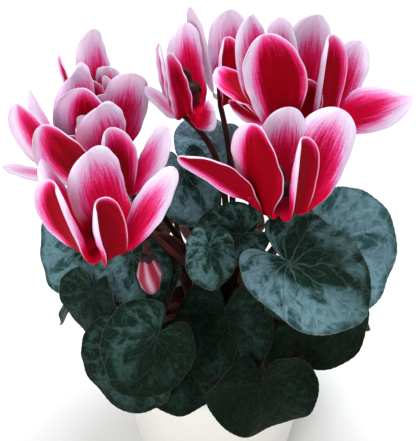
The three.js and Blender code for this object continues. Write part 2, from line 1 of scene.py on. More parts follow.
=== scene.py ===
# %% [markdown]
# # A florist's cyclamen in its pot
#
# The plant grows from a corky tuber that sits half sunk in the compost. Its leaf stalks lean out over
# the rim, and its flower stems rise above the leaves, hook over, and hold the blooms mouth down. The
# five petals of a bloom come out of the mouth, turn back on themselves and stand up like wings, so
# each one shows two faces: a crimson outer face with a white margin, and a pale inner face that is
# streaked with red from its foot.
#
# All sizes are in millimetres until a mesh is made. Angles are in degrees, and an azimuth is 0 along
# +X and 90 along +Y. The front of the plant looks along -Y.

import bpy
import numpy as np
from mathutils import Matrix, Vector


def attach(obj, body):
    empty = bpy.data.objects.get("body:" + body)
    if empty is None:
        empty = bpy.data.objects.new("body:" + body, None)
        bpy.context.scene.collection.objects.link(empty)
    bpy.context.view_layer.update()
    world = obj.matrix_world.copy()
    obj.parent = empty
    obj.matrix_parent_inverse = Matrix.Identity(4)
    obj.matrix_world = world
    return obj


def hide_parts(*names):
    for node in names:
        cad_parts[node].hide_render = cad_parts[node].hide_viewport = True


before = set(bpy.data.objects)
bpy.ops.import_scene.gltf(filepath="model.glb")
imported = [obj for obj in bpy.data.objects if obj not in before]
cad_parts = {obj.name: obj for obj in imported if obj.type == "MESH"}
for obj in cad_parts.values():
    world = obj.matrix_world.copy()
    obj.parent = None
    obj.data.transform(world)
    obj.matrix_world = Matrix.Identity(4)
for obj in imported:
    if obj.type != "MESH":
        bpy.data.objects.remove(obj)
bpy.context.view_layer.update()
MM = 0.001
print("solids in the packed part:", len(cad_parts))

# %% [markdown]
# ## Where things stand
#
# A leaf is placed by the point where its stalk meets the blade, the way its tip heads, how far and
# toward which side the blade tilts, and its size. A bloom is placed by its mouth and its axis. Each
# petal has an azimuth round that axis, a lean away from it, a length, a half width, a twist, and an
# arch toward its tip, in that order. These are the places that the solids have, so each piece lies on
# its solid. They were chosen leaf by leaf, because a plant seeded at random isn't this one.

# %% Places of the leaves
LEAVES = [  # where the stalk ends, heading of the tip, tilt, azimuth of the tilt, size, its own values
    ((59, -4, 159), 350, 50, 310, 58, dict(half=0.56, lobe=0.41, fold=0.3, rise=34, sway=-2)),
    ((35, -53, 191), 320, 34, 280, 55, dict(half=0.46, lobe=0.44, fold=0.3, rise=26, sway=10)),
    ((-3, -29, 179), 270, 40, 265, 26, dict(half=0.45, lobe=0.5, fold=0.3, rise=40, sway=-12)),
    ((12, -10, 172), 200, 30, 250, 34, dict(half=0.5, lobe=0.48, fold=0.3)),
    ((-16, 23, 185), 270, 46, 255, 36, dict(half=0.4, rise=34, sway=-8)),
    ((1, 50, 184), 155, 40, 255, 33, dict(half=0.38, lobe=0.52, rise=64)),
    ((33, -5, 191), 325, 34, 290, 23, dict()),
    ((-67, -10, 162), 190, 58, 230, 44, dict()),
    ((-42, -25, 171), 270, 42, 260, 38, dict(half=0.48, rise=24, sway=-16)),
    ((-62, -38, 157), 230, 76, 230, 35, dict(half=0.55, lobe=0.4, rise=26, sway=-4)),
    ((-29, -72, 161), 237, 56, 255, 43, dict(half=0.53, lobe=0.38, sway=-10)),
    ((-44, -63, 138), 245, 82, 245, 47, dict(half=0.52, lobe=0.51, rise=58, sway=-6)),
    ((-18, -53, 128), 270, 58, 270, 41, dict(half=0.56, rise=22, sway=-2)),
    ((-28, -22, 161), 220, 60, 220, 31, dict(half=0.5, lobe=0.36, rise=36, sway=-2)),
    ((23, -71, 125), 280, 82, 280, 42, dict(half=0.68, lobe=0.5, rise=28, sway=8, wave=4)),
    ((43, -45, 144), 345, 70, 290, 52, dict(half=0.49, lobe=0.49, rise=22, sway=14, wave=3)),
    ((4, -45, 147), 260, 48, 260, 46, dict(rise=22)),
    ((-55, 28, 153), 150, 36, 150, 58, dict(rise=48, sway=-4)),
    ((-24, 51, 146), 110, 20, 110, 55, dict(rise=24, sway=2)),
    ((21, 61, 149), 75, 22, 75, 57, dict(rise=14, sway=-2)),
    ((59, 41, 158), 35, 46, 35, 58, dict(rise=26)),
    ((-66, 14, 128), 170, 56, 170, 54, dict(rise=30)),
    ((-42, 50, 119), 130, 68, 130, 46, dict()),
    ((3, 67, 117), 90, 64, 90, 48, dict(rise=10)),
    ((52, 63, 113), 50, 68, 50, 52, dict(rise=12, sway=-4)),
    ((70, 15, 125), 10, 70, 10, 52, dict(rise=46)),
]
print("leaves:", len(LEAVES))

# %% Places of the blooms and the bud
PETAL_COLUMNS = ("az", "lean", "long", "wide", "twist", "arch")
BLOOMS = [
    dict(at=(-64, 58, 206), tilt=4, toward=180, gap=135, sway=-14, petals=[
        (85, 10, 41, 11, -45, 0), (330, 1, 24, 8, -70, 0), (180, 8, 36, 5, -35, 0),
        (265, 12, 30, 10, -40, 0), (62, 16, 20, 10, -35, 0)]),
    dict(at=(-58, 23, 206), tilt=17, toward=250, gap=345, petals=[
        (130, 13, 49, 18, -20, 20), (35, 20, 44, 13, -65, 0), (230, -10, 49, 18, -20, 0),
        (295, 9, 34, 10, -35, 0), (80, 0, 30, 9, -35, 0)]),
    dict(at=(-50, -19, 217), tilt=7, toward=185, gap=40, petals=[
        (95, -5, 44, 15, -35, 10), (295, 6, 41, 11, -10, 5), (345, 30, 44, 10, -40, -5),
        (215, 22, 54, 15, -45, 5), (155, 10, 30, 9, -35, 0)]),
    dict(at=(-70, 2, 210), tilt=11, toward=160, gap=337, petals=[
        (195, 14, 46, 11, -55, 5), (135, 16, 42, 11, -45, -5), (190, 62, 30, 5, -75, 0),
        (285, 4, 26, 8, -35, 0), (35, 3, 26, 8, -40, 0)]),
    dict(at=(-51, -62, 214), tilt=12, toward=165, gap=337, sway=-12, rise=107, drop=12, petals=[
        (75, 5, 47, 17, -60, 10), (145, 20, 47, 12, -30, 0), (205, 19, 47, 13, -30, 25),
        (290, 14, 41, 11, -30, 0), (20, 44, 43, 8, -50, -5)]),
    dict(at=(-12, 30, 227), tilt=22, toward=105, gap=145, sway=-15, rise=95, drop=17, petals=[
        (90, 4, 42, 12, -35, 0), (190, 8, 36, 11, 0, 5), (245, 19, 36, 8, -75, 0),
        (195, 40, 22, 4, -70, 0), (295, 73, 20, 8, -80, 5)]),
    dict(at=(8, 56, 217), tilt=6, toward=125, gap=222, sway=-6, petals=[
        (85, 3, 44, 13, -30, 0), (170, 10, 52, 5, -75, 0), (265, -9, 36, 9, -30, 5),
        (340, 10, 34, 10, -35, 0), (30, 10, 38, 10, -30, 0)]),
    dict(at=(28, 4, 242), tilt=11, toward=170, gap=355, sway=8, petals=[
        (120, 67, 45, 12, -20, -28), (285, -1, 47, 16, -5, 10), (115, 3, 50, 14, -30, 5),
        (60, 12, 44, 9, -35, 0), (135, 97, 26, 9, -75, 5)]),
    dict(at=(49, 31, 220), tilt=10, toward=50, gap=172, sway=4, petals=[
        (110, 7, 52, 17, -10, 5), (290, 3, 50, 12, -20, 15), (40, 24, 43, 12, -35, 0),
        (5, 63, 46, 12, -55, -5), (235, 2, 26, 10, -35, 0)]),
    dict(at=(30, -40, 220), tilt=10, toward=70, gap=140, sway=26, petals=[
        (190, 29, 52, 11, -50, -50), (215, 10, 50, 14, -25, -5), (90, 3, 46, 14, -20, 0),
        (310, 5, 41, 11, -5, 10), (35, 26, 50, 16, -50, 0)]),
]
BUDS = [dict(at=(-33, -51, 195), tilt=176, toward=0, long=25, wide=6.5, bend=300, sway=14)]
print("blooms:", len(BLOOMS), "buds:", len(BUDS))

# %% [markdown]
# ## Directions and meshes
#
# Every surface is worked out as whole numpy arrays. A mesh is then one list of points, and faces that
# join neighbours in the grid. Leaves and petals could be sculpted instead, but a formula gives fifty
# petals as easily as one, and a single number changes them all.

# %% Directions
def cos(angle):
    """Cosine of an angle in degrees."""
    return np.cos(np.radians(angle))


def sin(angle):
    """Sine of an angle in degrees."""
    return np.sin(np.radians(angle))


def around(azimuth):
    """Level unit vector at an azimuth."""
    return np.array([cos(azimuth), sin(azimuth), 0.0])


def tilted(tilt, toward):
    """Unit vector tilted from straight up toward an azimuth."""
    return np.array([0, 0, cos(tilt)]) + sin(tilt) * around(toward)


def unit(v):
    """Vectors of length 1."""
    return v / np.linalg.norm(v, axis=-1, keepdims=True)


def smooth(x):
    """Goes from 0 to 1 with a level start and end: 3x^2 - 2x^3."""
    x = np.clip(x, 0, 1)
    return x * x * (3 - 2 * x)


print("tilted 30 degrees toward the right:", tilted(30, 0).round(3))

# %% Faces over a grid
def surface_normals(grid):
    """Unit normals of a grid of points: column direction crossed with row direction."""
    return unit(np.cross(np.gradient(grid, axis=1), np.gradient(grid, axis=0)))


def quads(rows, columns, wrap=False):
    """Four corners for each cell of a grid. With wrap, the last column joins the first."""
    index = np.arange(rows * columns).reshape(rows, columns)
    here = index if wrap else index[:, :-1]
    beside = np.roll(index, -1, axis=1) if wrap else index[:, 1:]
    return np.stack([here[:-1], beside[:-1], beside[1:], here[1:]], -1).reshape(-1, 4)


def thin_sheet(grid, thickness, wrap=False):
    """Closed sheet from a middle surface: each point moves half the thickness out and half in.

    Returns the points, outer ones first, and the faces. With wrap the grid is a ring whose first row
    is filled by a fan round that row's middle."""
    rows, columns = grid.shape[:2]
    normal = surface_normals(grid)
    if wrap:
        padded = np.concatenate([grid[:, -1:], grid, grid[:, :1]], 1)
        normal = surface_normals(padded)[:, 1:-1]
    half = normal * np.asarray(thickness)[..., None] / 2
    points = np.concatenate([(grid + half).reshape(-1, 3), (grid - half).reshape(-1, 3)])
    count = rows * columns
    outer = quads(rows, columns, wrap)
    index = np.arange(count).reshape(rows, columns)
    if wrap:
        edges = [(index[-1, (np.arange(columns) + 1) % columns], index[-1])]
    else:
        edges = [(index[0, :-1], index[0, 1:]), (index[:-1, -1], index[1:, -1])]
        edges += [(index[-1, 1:], index[-1, :-1]), (index[1:, 0], index[:-1, 0])]
    rims = [np.stack([q, p, p + count, q + count], -1) for p, q in edges]
    faces = [*outer.tolist(), *(outer[:, ::-1] + count).tolist(), *np.concatenate(rims).tolist()]
    if wrap:
        middle = grid[0].mean(0)
        lift = unit(normal[0].mean(0)) * float(np.mean(np.asarray(thickness)[0])) / 2
        points = np.concatenate([points, [middle + lift, middle - lift]])
        first = index[0]
        after = np.roll(first, -1)
        top, under = 2 * count, 2 * count + 1
        faces += np.stack([np.full(columns, top), after, first], -1).tolist()
        faces += np.stack([np.full(columns, under), first + count, after + count], -1).tolist()
    return points, faces


def capped_rings(rings):
    """Closed body from rings of points, each anticlockwise seen against the way the rings go."""
    count, sides = rings.shape[:2]
    faces = quads(count, sides, True).tolist()
    faces += [list(range(sides))[::-1], list(range((count - 1) * sides, count * sides))]
    return rings.reshape(-1, 3), faces


def rod(path, radii, across, sides=12):
    """Round rod: at each point of the path a ring square to it, from a fixed direction across it."""
    along = unit(np.gradient(path, axis=0))
    side = unit(across - (along @ across)[:, None] * along)
    up = np.cross(along, side)
    turn = np.arange(sides)[:, None] * 360 / sides
    offset = side[:, None] * cos(turn) + up[:, None] * sin(turn)
    return path[:, None] + offset * np.asarray(radii)[:, None, None]


def lathe(outline, sides, centre=(0, 0, 0)):
    """Rings of an outline of (radius, height) points turned round the Z axis."""
    turn = np.arange(sides) * 360 / sides
    radius, height = np.asarray(outline, float).T
    ring = np.stack([cos(turn), sin(turn), np.zeros(sides)], -1)
    rings = radius[:, None, None] * ring + height[:, None, None] * np.array([0, 0, 1.0])
    return rings + np.asarray(centre)


def divided(outline, steps):
    """Outline with each straight stretch divided into equal steps."""
    outline = np.asarray(outline, float)
    run = np.concatenate([[0], np.cumsum(np.linalg.norm(np.diff(outline, axis=0), axis=1))])
    fine = np.concatenate([np.linspace(a, b, steps, endpoint=False) for a, b in zip(run, run[1:])])
    fine = np.append(fine, run[-1])
    return np.stack([np.interp(fine, run, c) for c in outline.T], -1)


print("faces on a rod of 40 rings:", len(capped_rings(np.zeros((40, 12, 3)))[1]))

# %% Meshes
def together(*bodies):
    """One list of points and of faces for several bodies."""
    points, faces, start = [], [], 0
    for body_points, body_faces in bodies:
        points.append(body_points)
        faces += [[v + start for v in face] for face in body_faces]
        start += len(body_points)
    return np.concatenate(points), faces


def make_piece(name, body, material, slot, replaces=(), uv=None, sharp=60, **values):
    """Puts a body into a mesh object, with one number per point for each named value.

    Edges that bend by more than sharp degrees are drawn as edges, and the rest look round."""
    points, faces = body
    mesh = bpy.data.meshes.new(name)
    mesh.from_pydata((np.asarray(points) * MM).tolist(), [], faces)
    mesh.polygons.foreach_set("use_smooth", np.ones(len(mesh.polygons), bool))
    mesh.set_sharp_from_angle(angle=np.radians(sharp))
    if uv is not None:
        corners = np.empty(len(mesh.loops), np.int32)
        mesh.loops.foreach_get("vertex_index", corners)
        mesh.uv_layers.new(name="UVMap").data.foreach_set("uv", uv[corners].ravel())
    for key, numbers in values.items():
        layer = mesh.attributes.new(key, "FLOAT", "POINT")
        layer.data.foreach_set("value", np.broadcast_to(numbers, len(points)).astype(np.float32))
    mesh.materials.append(material)
    piece = bpy.data.objects.new(name, mesh)
    bpy.context.scene.collection.objects.link(piece)
    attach(piece, "root")
    if replaces:
        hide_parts(*replaces)
    return piece


# %% [markdown]
# ## Finishes
#
# A finish is a node tree, built in steps like a sum on paper. It could be drawn by hand in the shader
# editor, but a recipe of thirty steps is easier to read as sums. `Finish` keeps the tree, and `Number`
# lets Python's own signs add the nodes.

# %% Colours and sums
def shade(red, green, blue):
    """Linear colour from the 0 to 255 numbers that a paint program shows."""
    c = np.array([red, green, blue]) / 255
    return tuple(np.where(c <= 0.04045, c / 12.92, ((c + 0.055) / 1.055) ** 2.4).tolist())


def sign(operation):
    """A method that joins two numbers by one step of arithmetic."""
    return lambda first, second=0.0: first.paint.sum(operation, first, second)


class Number:
    """What comes out of a node. A sign between two of them adds a node that works the sum out."""

    __add__, __sub__, __mul__ = sign("ADD"), sign("SUBTRACT"), sign("MULTIPLY")
    __truediv__, __pow__, __abs__ = sign("DIVIDE"), sign("POWER"), sign("ABSOLUTE")

    def __init__(self, paint, socket):
        self.paint, self.socket = paint, socket

    def __rsub__(self, other):
        return self.paint.sum("SUBTRACT", other, self)


print("a middle grey is", round(shade(128, 128, 128)[0], 3), "in linear light")

# %% A short hand for node trees
class Finish:
    """A material with one shader, and helpers that add nodes and return what comes out of them."""

    def __init__(self, name, roughness, **constants):
        self.material = bpy.data.materials.new(name)
        self.material.use_nodes = True
        self.tree = self.material.node_tree
        self.shader = self.tree.nodes["Principled BSDF"]
        self.shader.inputs["Roughness"].default_value = roughness
        for socket, value in constants.items():
            self.shader.inputs[socket.replace("_", " ")].default_value = value

    def feed(self, socket, value):
        """Links a number to a socket, or sets the socket to a constant."""
        if isinstance(value, Number):
            self.tree.links.new(value.socket, socket)
        elif isinstance(value, tuple):
            socket.default_value = (*value, 1.0)[: len(socket.default_value)]
        else:
            socket.default_value = value

    def node(self, kind, output=0, sockets=None, **settings):
        """Adds a node with settings and sockets, and returns one of its outputs."""
        made = self.tree.nodes.new(kind)
        for key, value in settings.items():
            setattr(made, key, value)
        for key, value in (sockets or {}).items():
            self.feed(made.inputs[key], value)
        return Number(self, made.outputs[output])

    def sum(self, operation, first, second=0.0):
        """One step of arithmetic."""
        return self.node("ShaderNodeMath", operation=operation, sockets={0: first, 1: second})

    def step(self, value, low, high):
        """Smooth step from 0 where value is low to 1 where it is high."""
        sockets = {"Value": value, "From Min": low, "From Max": high}
        return self.node("ShaderNodeMapRange", sockets=sockets, interpolation_type="SMOOTHSTEP")

    def mix(self, share, first, second):
        """Colour between two others, which are outputs or a paint program's 0 to 255 numbers."""
        sockets = {0: share}
        for socket, colour in ((6, first), (7, second)):
            sockets[socket] = shade(*colour) if isinstance(colour, tuple) else colour
        return self.node("ShaderNodeMix", output=2, sockets=sockets, data_type="RGBA")

    def layers(self, colour, *layers):
        """Colours laid over a first one in turn, each as thickly as its share says."""
        for share, over in layers:
            colour = self.mix(share, colour, over)
        return colour

    def value(self, name):
        """A number that the mesh carries for each point."""
        return self.node("ShaderNodeAttribute", output="Fac", attribute_name=name)

    def place(self, stretch=(1.0, 1.0, 1.0), source="Object"):
        """Object or UV coordinates, stretched along each axis."""
        coordinates = self.node("ShaderNodeTexCoord", output=source)
        return self.node("ShaderNodeMapping", sockets={"Vector": coordinates, "Scale": stretch})

    def noise(self, where, scale, detail=3.0, roughness=0.55):
        """Cloudy noise between 0 and 1."""
        sockets = {"Vector": where, "Scale": scale, "Detail": detail, "Roughness": roughness}
        return self.node("ShaderNodeTexNoise", sockets=sockets)

    def streaks(self, across, along, detail=3.0, roughness=0.55):
        """Noise on the UV map with so many waves across and along it."""
        return self.noise(self.place((across, along, 1.0), "UV"), 1.0, detail, roughness)

    def relief(self, height, distance, strength=1.0):
        """Bumps the surface by height times distance, in metres."""
        sockets = {"Height": height, "Distance": distance, "Strength": strength}
        self.feed(self.shader.inputs["Normal"], self.node("ShaderNodeBump", sockets=sockets))

    def colour(self, colour, roughness=None):
        """Sets the shader's colour, and its roughness if that varies."""
        self.feed(self.shader.inputs["Base Color"], colour)
        if roughness is not None:
            self.feed(self.shader.inputs["Roughness"], roughness)
        return self.material


# %% [markdown]
# ## Petal finish
#
# The two faces of a petal differ. Outside, deep crimson runs into a thin band of pink and then a white
# margin, which is wider on one side. Inside, the petal is white with a breath of lilac, and red
# streaks feather up it from the foot. A painted picture would do this too, but nodes stay sharp at any
# size. Each point carries where it lies across and along the petal. The UV map holds the same, moved
# on from petal to petal, so streaks run along the petal when noise has few waves in v.

# %% Petal finish
def petal_finish():
    """Crimson middle that feathers out into a pale margin: narrow outside, wide inside."""
    paint = Finish("petal", 0.6, Specular_IOR_Level=0.03, Subsurface_Weight=0.3, Subsurface_Scale=0.0015)
    # each petal's pale value is partly its own paleness and partly painted light and shade: it lifts a
    # petal toward white where it is painted lighter, and darkens it where it is painted into shade
    across, along, pale = paint.value("across"), paint.value("along"), paint.value("pale")
    fine, strokes = paint.streaks(46.0, 5.0, 3.0, 0.6), paint.streaks(20.0, 2.4)
    broad, specks = paint.streaks(4.0, 1.6, 2.0), paint.streaks(70.0, 60.0, 2.0, 0.7)
    ragged = (fine * 0.55 + strokes * 0.45 - 0.5) * 1.9 + (broad - 0.5) * 0.5 + (specks - 0.5) * 0.9
    margin = abs(across)

    # outer face: the margin is narrow on one side and wide on the other, and fades at the foot
    one_side = paint.step(across, -0.05, -0.95) * paint.value("wide_margin")
    edge = margin ** 3.2 * 0.42 + one_side + along ** 7.0 * 0.5
    outer = edge * paint.step(along, 0.12, 0.42) + (ragged * 0.3 + pale)

    # inner face: a broad pale margin and tip, with strokes of magenta running into them
    edge = margin ** 2.0 * 0.62 + along ** 3.4 * 0.84
    inner = edge * paint.step(along, 0.15, 0.5) + (ragged * 0.42 + pale)

    # the same sweep of colours for both: deep crimson, rose, pink, and white with a breath of lilac;
    # the very edge is paler, and round the mouth both faces are a dark wine red
    is_outer = paint.step(paint.value("outer"), 0.45, 0.55)
    fade = outer * is_outer + inner * (1.0 - is_outer)
    rim = paint.sum("MAXIMUM", paint.step(margin, 0.93, 0.985), paint.step(along, 0.975, 0.995))
    petal = paint.layers(
        paint.mix(is_outer, (188, 2, 46), (142, 0, 18)),
        (paint.step(broad, 0.5, 0.8) * 0.5, (206, 6, 54)),
        (paint.step(fine, 0.52, 0.7) * 0.4, (132, 0, 18)),
        # painted shade: a petal whose pale value is below zero turns a deeper crimson
        (paint.step(pale, -0.1, -0.25), (138, 0, 24)),
        (paint.step(fade, 0.12, 0.32), (212, 26, 94)),
        (paint.step(fade, 0.28, 0.44), (220, 100, 168)),
        (paint.step(fade, 0.40, 0.62), (222, 188, 222)),
        (paint.step(fade, 0.60, 0.85), (230, 218, 240)),
        (rim * paint.step(along, 0.2, 0.4) * 0.6, (234, 200, 228)),
        (paint.step(along, 0.13, 0.03), (120, 4, 34)))
    paint.relief(paint.streaks(34.0, 1.0, 2.0), 0.0005, 0.3)
    return paint.colour(petal)


PETAL_FINISH = petal_finish()
print("nodes in the petal finish:", len(PETAL_FINISH.node_tree.nodes))

# %% [markdown]
# ## Leaf finish
#
# A cyclamen leaf is dark green with a net of silver. Main veins fan out from the stalk and bend toward
# the tip. Between the dark middle and the dark margin lies a zone where silver fills the leaf round
# green cells. The underside is dull purple and green. The UV map is the flat leaf, with the stalk at
# its origin and the leaf's size as 1, so the pattern has the same look on leaves of every size. The
# veins are worked out from angles and not drawn by noise, because they have to meet at the stalk.

# %% Leaf finish
VEIN_ANGLE = 2 * np.pi / 9  # radians between main veins at the stalk
VEIN_BEND = 0.3  # how much closer to the midrib the veins lie at the margin


def vein_distances(paint, where, share):
    """Distances in leaf sizes to the nearest main vein and to the nearest side vein, and polar noise
    coordinates.

    A main vein is where angle * (1 + bend * share) is a whole number of steps. Side veins leave it
    where share, less a part of that angle, is a whole number of steps, shifted from side to side and
    from vein to vein so that they alternate."""
    u, v = (paint.node("ShaderNodeSeparateXYZ", output=i, sockets={"Vector": where}) for i in (0, 1))
    out = paint.node("ShaderNodeVectorMath", output=1, operation="LENGTH", sockets={0: where})
    turn = paint.sum("ARCTAN2", v, u) * (share * VEIN_BEND + 1.0) / VEIN_ANGLE + 40.5
    which, off = paint.sum("FLOOR", turn), paint.sum("FRACT", turn) - 0.5
    shift = which * 0.37 + paint.sum("SIGN", off) * 0.24
    turns = paint.sum("FRACT", (share - abs(off) * 0.55) * 3.6 + shift)
    polar = paint.node("ShaderNodeCombineXYZ", sockets={0: turn, 1: share * 2.6})
    return abs(off) * VEIN_ANGLE * out, abs(turns - 0.5) * 0.15, polar


def leaf_finish():
    """Dark green leaf with silver veins and a silver zone, purple beneath."""
    paint = Finish("leaf", 0.6, Specular_IOR_Level=0.05)
    flat = paint.place(source="UV")
    # each leaf's painted lighting: 1 on a lit leaf, lower where shade is painted in, near 0 for painted
    # deep shade
    share, silver, tone = paint.value("share"), paint.value("silver"), paint.value("tone")
    cloud, patchy = paint.noise(flat, 4.0, 4.0), paint.noise(flat, 11.0)
    warp = paint.node("ShaderNodeTexNoise", output=1, sockets={"Vector": flat, "Scale": 5.0, "Detail": 3.0})
    grey = (0.5, 0.5, 0.5)
    centred = paint.node("ShaderNodeVectorMath", operation="SUBTRACT", sockets={0: warp, 1: grey})
    warped = paint.node("ShaderNodeVectorMath", operation="MULTIPLY_ADD",
                        sockets={0: centred, 1: (0.15, 0.15, 0.0), 2: flat})
    main, side, polar = vein_distances(paint, warped, share)
    cells = paint.node("ShaderNodeTexVoronoi", feature="DISTANCE_TO_EDGE",
                       sockets={"Vector": warped, "Scale": 10.0})
    vein = paint.step(main, share * -0.010 + 0.018, 0.001)
    branch = paint.step(side, 0.017, 0.001) * paint.step(share, 0.15, 0.4)
    net = paint.step(cells, 0.06, 0.0) * paint.step(patchy, 0.3, 0.6)

    # silver strokes lie in a broad ring, run outward, and gather beside the veins
    border = share + (cloud * 0.6 - 0.3)
    inside = paint.step(border - paint.value("heart"), -0.12, 0.14)
    zone = inside * paint.step(border - paint.value("reach"), 0.12, -0.08)
    strokes = paint.noise(polar, 1.25, 4.0, 0.6) + paint.step(main, 0.06, 0.0) * 0.16 + silver * 0.16
    cell = paint.step(cells, 0.36, 0.04) * 0.5 + 0.5
    patch = paint.step(strokes, 0.52, 0.68) * zone * cell * (silver * 0.85 + 0.05)

    # upper face: green, or nearly black as painted shade under other leaves, with silver, veins and a pale
    # hem that the painted shade dims too
    bluish = paint.step(silver, 0.45, 1.0) * 0.7 * inside
    green = paint.layers(
        paint.mix(cloud, (8, 32, 24), (24, 64, 50)),
        (paint.step(patchy, 0.5, 0.75) * 0.6, (26, 68, 34)),
        (bluish, (54, 94, 100)))
    shadow = paint.mix(cloud, (5, 12, 7), (12, 24, 13))
    lines = paint.sum("MAXIMUM", vein * 0.8, branch * 0.42) * (silver * 0.35 + 0.1) * (tone * 0.6 + 0.4)
    top = paint.layers(
        paint.mix(tone, shadow, green),
        (net * 0.16, (92, 120, 112)),
        (patch, paint.mix(silver, (84, 138, 124), (122, 156, 172))),
        (lines * paint.step(patchy, 0.15, 0.5), (150, 182, 186)),
        (paint.step(share, 0.98, 0.998) * (tone * 0.4 + 0.05), (140, 140, 122)))
    # painted shade once more over the whole upper face, silver and veins included
    top = paint.mix(tone * 0.7 + 0.3, shadow, top)
    under = paint.layers(paint.mix(cloud, (80, 74, 54), (98, 52, 58)), (vein * 0.7, (132, 92, 84)))
    height = paint.step(side, 0.0, 0.05) * 0.7 - vein + paint.step(cells, 0.0, 0.15) * 0.4
    paint.relief(height, 0.0010, 0.65)
    return paint.colour(paint.mix(paint.step(paint.value("outer"), 0.45, 0.55), under, top))


LEAF_FINISH = leaf_finish()
print("nodes in the leaf finish:", len(LEAF_FINISH.node_tree.nodes))

# %% [markdown]
# ## Stems, bud, throat, tuber, compost and pot
#
# Flower stems are dark reddish brown, a little paler and redder toward the bloom, and the bud shows
# crimson petals with pale folds. The tuber is corky, the compost is dark and crumbly, and the pot is
# plain moulded plastic. Each of these colours is a noise that runs between two of its shades, because
# a flat colour looks painted on.

# %% Stem and stalk finishes
def stem_finish():
    """Reddish brown stem, paler in streaks along it."""
    paint = Finish("stem", 0.5, Specular_IOR_Level=0.12)
    streak = paint.noise(paint.place((220.0, 220.0, 30.0)), 1.0)
    paint.relief(streak, 0.0004, 0.4)
    return paint.colour(paint.layers(
        paint.mix(paint.step(streak, 0.35, 0.7), (36, 10, 9), (68, 24, 19)),
        (paint.value("up"), paint.mix(streak, (46, 13, 12), (76, 26, 21))),
        (paint.value("calyx"), paint.mix(streak, (18, 8, 10), (48, 26, 27)))))


def stalk_finish():
    """Leaf stalk: green with a red flush that fades upward."""
    paint = Finish("leaf_stalk", 0.45, Specular_IOR_Level=0.25)
    streak = paint.noise(paint.place((180.0, 180.0, 40.0)), 1.0)
    red = paint.mix(streak, (60, 20, 19), (92, 42, 34))
    green = paint.mix(streak, (66, 72, 42), (92, 58, 44))
    return paint.colour(paint.mix(paint.step(paint.value("up"), 0.3, 1.0), red, green))


STEM_FINISH, STALK_FINISH = stem_finish(), stalk_finish()
print("nodes in the stem finish:", len(STEM_FINISH.node_tree.nodes))

# %% Bud and throat finishes
def bud_finish():
    """Furled petals: crimson, and pale where one folds over the next."""
    paint = Finish("bud", 0.5, Specular_IOR_Level=0.2)
    streak = paint.streaks(14.0, 1.6)
    crimson = paint.mix(streak, (112, 2, 22), (160, 22, 60))
    pale = paint.mix(streak, (206, 176, 194), (172, 116, 142))
    edge = paint.value("furl") + (paint.value("along") * 0.5 + (streak * 0.9 - 0.6))
    return paint.colour(paint.mix(paint.step(edge, 0.1, 1.15), crimson, pale))


def throat_finish():
    """Wine red, blotched with a darker red."""
    paint = Finish("throat", 0.6, Specular_IOR_Level=0.1)
    blotch = paint.noise(paint.place(), 300.0, 2.0)
    return paint.colour(paint.mix(blotch, (70, 4, 18), (116, 8, 32)))


BUD_FINISH, THROAT_FINISH = bud_finish(), throat_finish()
print("nodes in the bud finish:", len(BUD_FINISH.node_tree.nodes))

# %% Tuber, compost and pot finishes
def grainy_finish(name, roughness, specular, grain, bumps, low_high, dark, light):
    """Two shades mixed by the same noise that raises the surface."""
    paint = Finish(name, roughness, Specular_IOR_Level=specular)
    noise = paint.noise(paint.place(), *grain)
    paint.relief(noise, *bumps)
    return paint.colour(paint.mix(paint.step(noise, *low_high), dark, light))


def pot_finish():
    """Off-white moulded plastic, barely mottled."""
    paint = Finish("pot", 0.38, Specular_IOR_Level=0.5)
    mottle = paint.noise(paint.place(), 22.0)
    paint.relief(paint.noise(paint.place(), 900.0, 2.0), 0.0002, 0.25)
    return paint.colour(paint.mix(mottle, (222, 219, 212), (234, 232, 227)), mottle * 0.14 + 0.32)


POT_FINISH = pot_finish()
TUBER_FINISH = grainy_finish("tuber", 0.85, 0.5, (260.0, 6.0, 0.65), (0.0015, 0.7), (0.3, 0.7),
                             (60, 38, 28), (122, 88, 62))
SOIL_FINISH = grainy_finish("soil", 0.95, 0.2, (420.0, 8.0, 0.7), (0.002, 0.9), (0.35, 0.75),
                            (34, 24, 18), (88, 66, 48))
print("nodes in the tuber finish:", len(TUBER_FINISH.node_tree.nodes))

# %% [markdown]
# ## The pot and the compost
#
# The pot is an outline turned round its axis, as a real one is moulded, with a band under the rim and
# drain holes cut through its base. The compost fills it nearly to the rim, and its top is heaped a
# little toward the tuber. The top is made of waves and hundreds of crumbs, and not of a bump texture,
# because its edge is seen against the rim.

# %% The outline of the pot
POT = dict(height=100, foot=42, rim=58, wall=3.5, band=15, band_step=2.2)
GAP = 0.3  # between pieces that don't touch


def pot_inside(height):
    """Radius of the pot's inner wall at a height: straight from the foot to the rim."""
    top, bottom = POT["rim"] - POT["wall"] - POT["band_step"], POT["foot"] - POT["wall"]
    return bottom + (top - bottom) * (height - POT["wall"]) / (POT["height"] - 1 - POT["wall"])


def pot_outline():
    """Foot, wall, band and rim outside, then the inner wall down to the floor."""
    rim, top, band = POT["rim"], POT["height"], POT["height"] - POT["band"]
    inner = rim - POT["wall"] - POT["band_step"]
    outside = [(0.01, 0), (30, 0), (POT["foot"] - 1, 0), (POT["foot"] - 0.3, 0.3), (POT["foot"], 1)]
    outside += [(rim - POT["band_step"] - 1.3, band - 2), (rim - POT["band_step"] - 0.8, band - 0.8)]
    outside += [(rim - 0.4, band + 0.2), (rim, band + 0.9), (rim, top - 1), (rim - 0.3, top - 0.3)]
    inside = [(rim - 1, top), (inner + 0.5, top), (inner + 0.1, top - 0.4), (inner, top - 1)]
    inside += [(pot_inside(30), 30), (pot_inside(5), 5), (pot_inside(5) - 1.5, POT["wall"])]
    inside.append((0.01, POT["wall"]))
    return outside + inside


print("points in the outline of the pot:", len(pot_outline()))

# %% Drain holes, and the finished pot
DRAIN_HOLES, DRAIN_RADIUS, DRAIN_RING = 5, 5, 24


